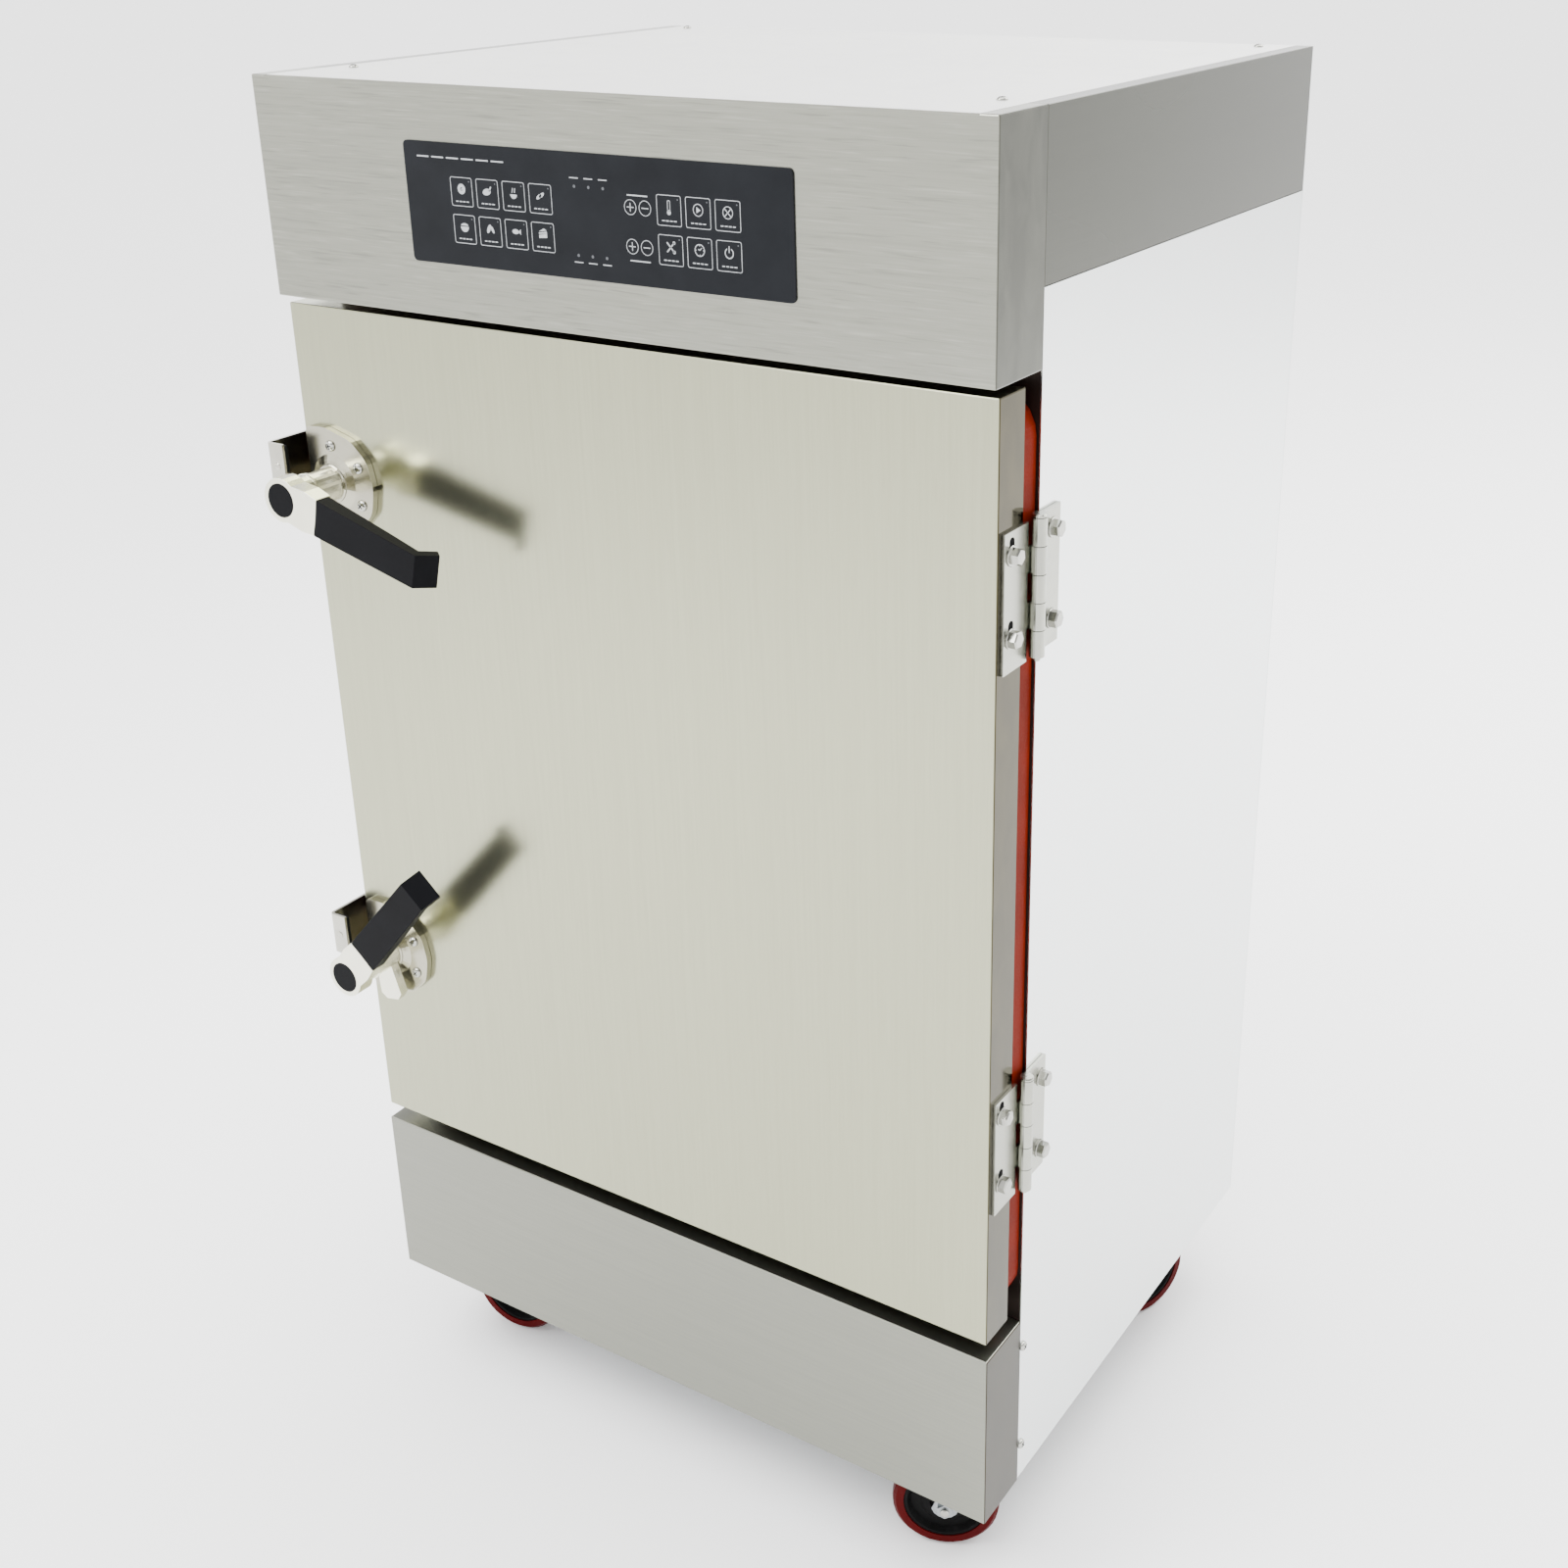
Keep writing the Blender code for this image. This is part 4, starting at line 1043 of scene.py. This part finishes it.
@dataclass
class SteamChamber:
    """Chamber with its racks, pan and element."""

    def dress(self) -> None:
        """Give the chamber's parts their finishes."""
        dress(LINER_STEEL, ["chamber_liner"])
        dress(PAN_STEEL, ["water_pan", "steam_plate"])
        dress(RACK_STEEL, ["left_tray_rack", "right_tray_rack"])
        dress(ELEMENT_STEEL, ["heating_element"])
        dress(WOOL, ["insulation_wrap"])

    def build(self) -> None:
        """Rivet the racks to the chamber's walls."""
        for hand in Hand:
            node = f"{hand.name.lower()}_tray_rack"
            low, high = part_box(node)
            wall = (high.x if hand is Hand.RIGHT else low.x) - hand.value * 0.0012
            inward = Hand(-hand.value)
            for row, z in enumerate((low.z + 0.012, (low.z + high.z) / 2 + 0.013, high.z - 0.045)):
                for end, y in (("front", low.y + 0.020), ("rear", high.y - 0.020)):
                    place = facing_side(wall, y, z, inward)
                    Rivet(0.0034, 0.0014).build(f"{node}_rivet_{row}_{end}", place, "cabinet",
                                                node, RACK_STEEL)


@dataclass
class RearFittings:
    """Drain valve, water inlet, steam vent and power gland."""

    def dress(self) -> None:
        """Give the fittings their finishes."""
        dress(BRASS_CAST, ["drain_valve", "water_inlet"])
        dress(HANDLE_RED, ["drain_handle"])
        dress(RACK_STEEL, ["steam_vent"])
        dress(BLACK_NYLON, ["power_gland"])

    def build(self) -> None:
        """Add the handle's nut, the threads and the gland's ribs."""
        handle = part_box("drain_handle")
        x, y, _ = joint_at("drain_handle_turn")[0]
        place = facing_up(x, y, handle[1].z)
        HexBolt(0.008, 0.0040, 0.0058).build("drain_handle_nut", place, "drain_lever",
                                             "drain_handle")
        for node, radius, reach, finish in (("drain_valve", 0.0106, 0.013, BRASS_CAST),
                                            ("water_inlet", 0.0101, 0.016, BRASS_CAST),
                                            ("power_gland", 0.0132, 0.006, BLACK_NYLON)):
            low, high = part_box(node)
            centre = ((low.x + high.x) / 2, (low.z + high.z) / 2)
            if node == "drain_valve":
                centre = (centre[0], low.z + (high.x - low.x) / 2)
            threads = Shape()
            start = high.y - (0.0165 if node == "power_gland" else 0.0010)
            pitch = 0.0016
            for turn in range(int(reach / pitch)):
                spot = facing_back(centre[0], start - turn * pitch, centre[1])
                threads.lathe(((radius - 0.0004, 0.0), (radius + 0.0005, -0.0005),
                               (radius - 0.0004, -0.0010)), spot, 24)
            threads.piece(f"{node}_threads", finish, "cabinet", node)


@dataclass
class Caster:
    """Swivel caster."""

    name: str

    def dress(self) -> None:
        """Give the caster's parts their finishes."""
        dress(ZINC_PLATE, [f"{self.name}_caster_plate", f"{self.name}_fork"])
        dress(BLACK_NYLON, [f"{self.name}_wheel_core"])
        dress(TREAD_RED, [f"{self.name}_wheel_tread"])

    def build(self) -> None:
        """Add the plate's bolts, the ball race, the axle's collars and the hub caps."""
        low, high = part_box(f"{self.name}_caster_plate")
        down = Matrix.Rotation(math.radians(180), 4, "X")
        plate = f"{self.name}_caster_plate"
        centre = (low + high) / 2
        for index, (sx, sy) in enumerate(((-1, -1), (1, -1), (1, 1), (-1, 1))):
            spot = Matrix.Translation((centre.x + sx * 0.0285, centre.y + sy * 0.0385, low.z))
            HexBolt(0.010, 0.0040, 0.0062).build(f"{self.name}_plate_bolt_{index}", spot @ down,
                                                 "cabinet", plate)
        race = Shape()
        at = facing_up(centre.x, centre.y, 0.0)
        race.lathe(((0.0284, 0.1212), (0.0312, 0.1206), (0.0318, 0.1180), (0.0312, 0.1154),
                    (0.0284, 0.1148)), at, 32)
        race.piece(f"{self.name}_ball_race", ZINC_PLATE, f"{self.name}_swivel",
                   f"{self.name}_fork")
        middle, axis = joint_at(f"{self.name}_wheel_roll")
        turn = axis.to_track_quat("Z", "Y").to_matrix().to_4x4()
        for sign, side in ((1, "a"), (-1, "b")):
            flip = Matrix() if sign > 0 else down
            hub = Matrix.Translation(middle) @ turn @ flip
            cap = Shape()
            cap.lathe(((0.0150, 0.0135), (0.0210, 0.0131), (0.0240, 0.0112), (0.0240, 0.0100),
                       (0.0150, 0.0100)), hub, 28)
            cap.piece(f"{self.name}_hub_ring_{side}", BLACK_NYLON, f"{self.name}_wheel",
                      f"{self.name}_wheel_core")
            nut = Shape()
            nut.lathe(((0.0, 0.0288), (0.0034, 0.0288), (0.0042, 0.0282), (0.0042, 0.0262),
                       (0.0, 0.0262)), hub, 18)
            nut.piece(f"{self.name}_axle_end_{side}", BOLT_STEEL, f"{self.name}_swivel",
                      f"{self.name}_fork")


# --- Studio --------------------------------------------------------------
@dataclass
class Studio:
    """Pale floor, soft lights and the camera."""

    lens: float = 45.04
    shift: Point = (-0.0450, -0.0507)
    stand: tuple[float, float, float] = (0.9765, -1.1613, 1.4638)
    right: tuple[float, float, float] = (0.8448, 0.5349, -0.0147)
    ahead: tuple[float, float, float] = (-0.4972, 0.7747, -0.3907)
    surround: tuple[float, float, float, float] = (0.18, 0.60, 3.9, 0.7)

    def build(self) -> None:
        """Set up the world, the floor, the lights and the camera."""
        self._world()
        self._floor()
        self._sky(5.8)
        self._light("front", (-1.2, -1.8, 2.6), (-0.9, -1.4, 0.0), 1.4, 90.0)
        self._light("side", (1.6, 2.4, 3.2), (1.5, 2.2, 0.0), 3.4, 285.0)
        self._camera()

    def _world(self) -> None:
        """A pale surround, bright round the horizon and dimmer overhead."""
        world = bpy.data.worlds.new("pale_surround")
        world.use_nodes = True
        nodes, links = world.node_tree.nodes, world.node_tree.links
        surround = nodes["Background"]
        parts = nodes.new("ShaderNodeSeparateXYZ")
        links.new(nodes.new("ShaderNodeTexCoord").outputs["Generated"], parts.inputs[0])
        fade = nodes.new("ShaderNodeMapRange")
        links.new(parts.outputs["Z"], fade.inputs["Value"])
        for name, value in zip(("From Min", "From Max", "To Min", "To Max"), self.surround):
            fade.inputs[name].default_value = value
        links.new(fade.outputs["Result"], surround.inputs["Strength"])
        surround.inputs["Color"].default_value = (1.0, 1.0, 1.0, 1.0)
        bpy.context.scene.world = world

    def _floor(self) -> None:
        """A wide pale floor."""
        shape = bmesh.new()
        bmesh.ops.create_grid(shape, x_segments=4, y_segments=4, size=60.0)
        mesh = bpy.data.meshes.new("studio_floor")
        shape.to_mesh(mesh)
        shape.free()
        floor = stand_in_scene("studio_floor", mesh)
        graph = Graph("floor_paint")
        tone = graph.tint(graph.noise((0.8, 0.8, 0.8), 2.0), (0.94, 0.94, 0.94), (0.96, 0.96, 0.96))
        graph.settle(Roughness=0.9)
        graph.feed("Base Color", tone)
        mesh.materials.append(graph.material)

    def _sky(self, power: float) -> None:
        """Very soft light from overhead, which whitens the floor that the sheet metal mirrors."""
        data = bpy.data.lights.new("overhead", "SUN")
        data.energy = power
        data.angle = math.radians(70.0)
        lamp = stand_in_scene("overhead", data)
        lamp.rotation_euler = (math.radians(8.0), math.radians(-6.0), 0.0)

    def _light(self, name: str, at: tuple[float, float, float], aim: tuple[float, float, float],
               size: float, power: float) -> None:
        """A square soft light, aimed at a point."""
        data = bpy.data.lights.new(name, "AREA")
        data.size = size
        data.energy = power
        lamp = stand_in_scene(name, data)
        lamp.location = at
        lamp.rotation_euler = (Vector(aim) - Vector(at)).to_track_quat("-Z", "Y").to_euler()

    def _camera(self) -> None:
        """The camera, level with the header and to the right of the cabinet."""
        data = bpy.data.cameras.new("camera")
        data.lens = self.lens
        data.sensor_width = 36.0
        data.shift_x, data.shift_y = self.shift
        camera = stand_in_scene("camera", data)
        ahead = Vector(self.ahead).normalized()
        right = Vector(self.right)
        right = (right - ahead * right.dot(ahead)).normalized()
        up = right.cross(ahead)
        turn = Matrix((right, up, -ahead)).transposed().to_4x4()
        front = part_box("fascia")[0].y
        x, y, z = self.stand
        camera.matrix_world = Matrix.Translation((x, front + y, z)) @ turn
        bpy.context.scene.camera = camera


def main() -> None:
    """Build the studio and every sub-assembly, and log each one as it is built."""
    logging.basicConfig(level=logging.INFO, format="%(message)s")
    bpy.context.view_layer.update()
    Studio().build()
    assemblies: list = [CabinetBody(), ControlPanel(), Door(), SteamChamber(), RearFittings()]
    assemblies.append(Hinge(Level.UPPER, (0.0865, 1.0153, 0.9435), (0.0250, 1.0106, 0.9468)))
    assemblies.append(Hinge(Level.LOWER, (0.0903, 0.5322, 0.4606), (0.0242, 0.5316, 0.4655)))
    for level in Level:
        assemblies.append(Latch(level))
        assemblies.append(Keeper(level))
    for end in ("front", "rear"):
        for hand in Hand:
            assemblies.append(Caster(f"{end}_{hand.name.lower()}"))
    for assembly in assemblies:
        assembly.dress()
        assembly.build()
        LOG.info("built %s", type(assembly).__name__)


if __name__ == "__main__":
    main()
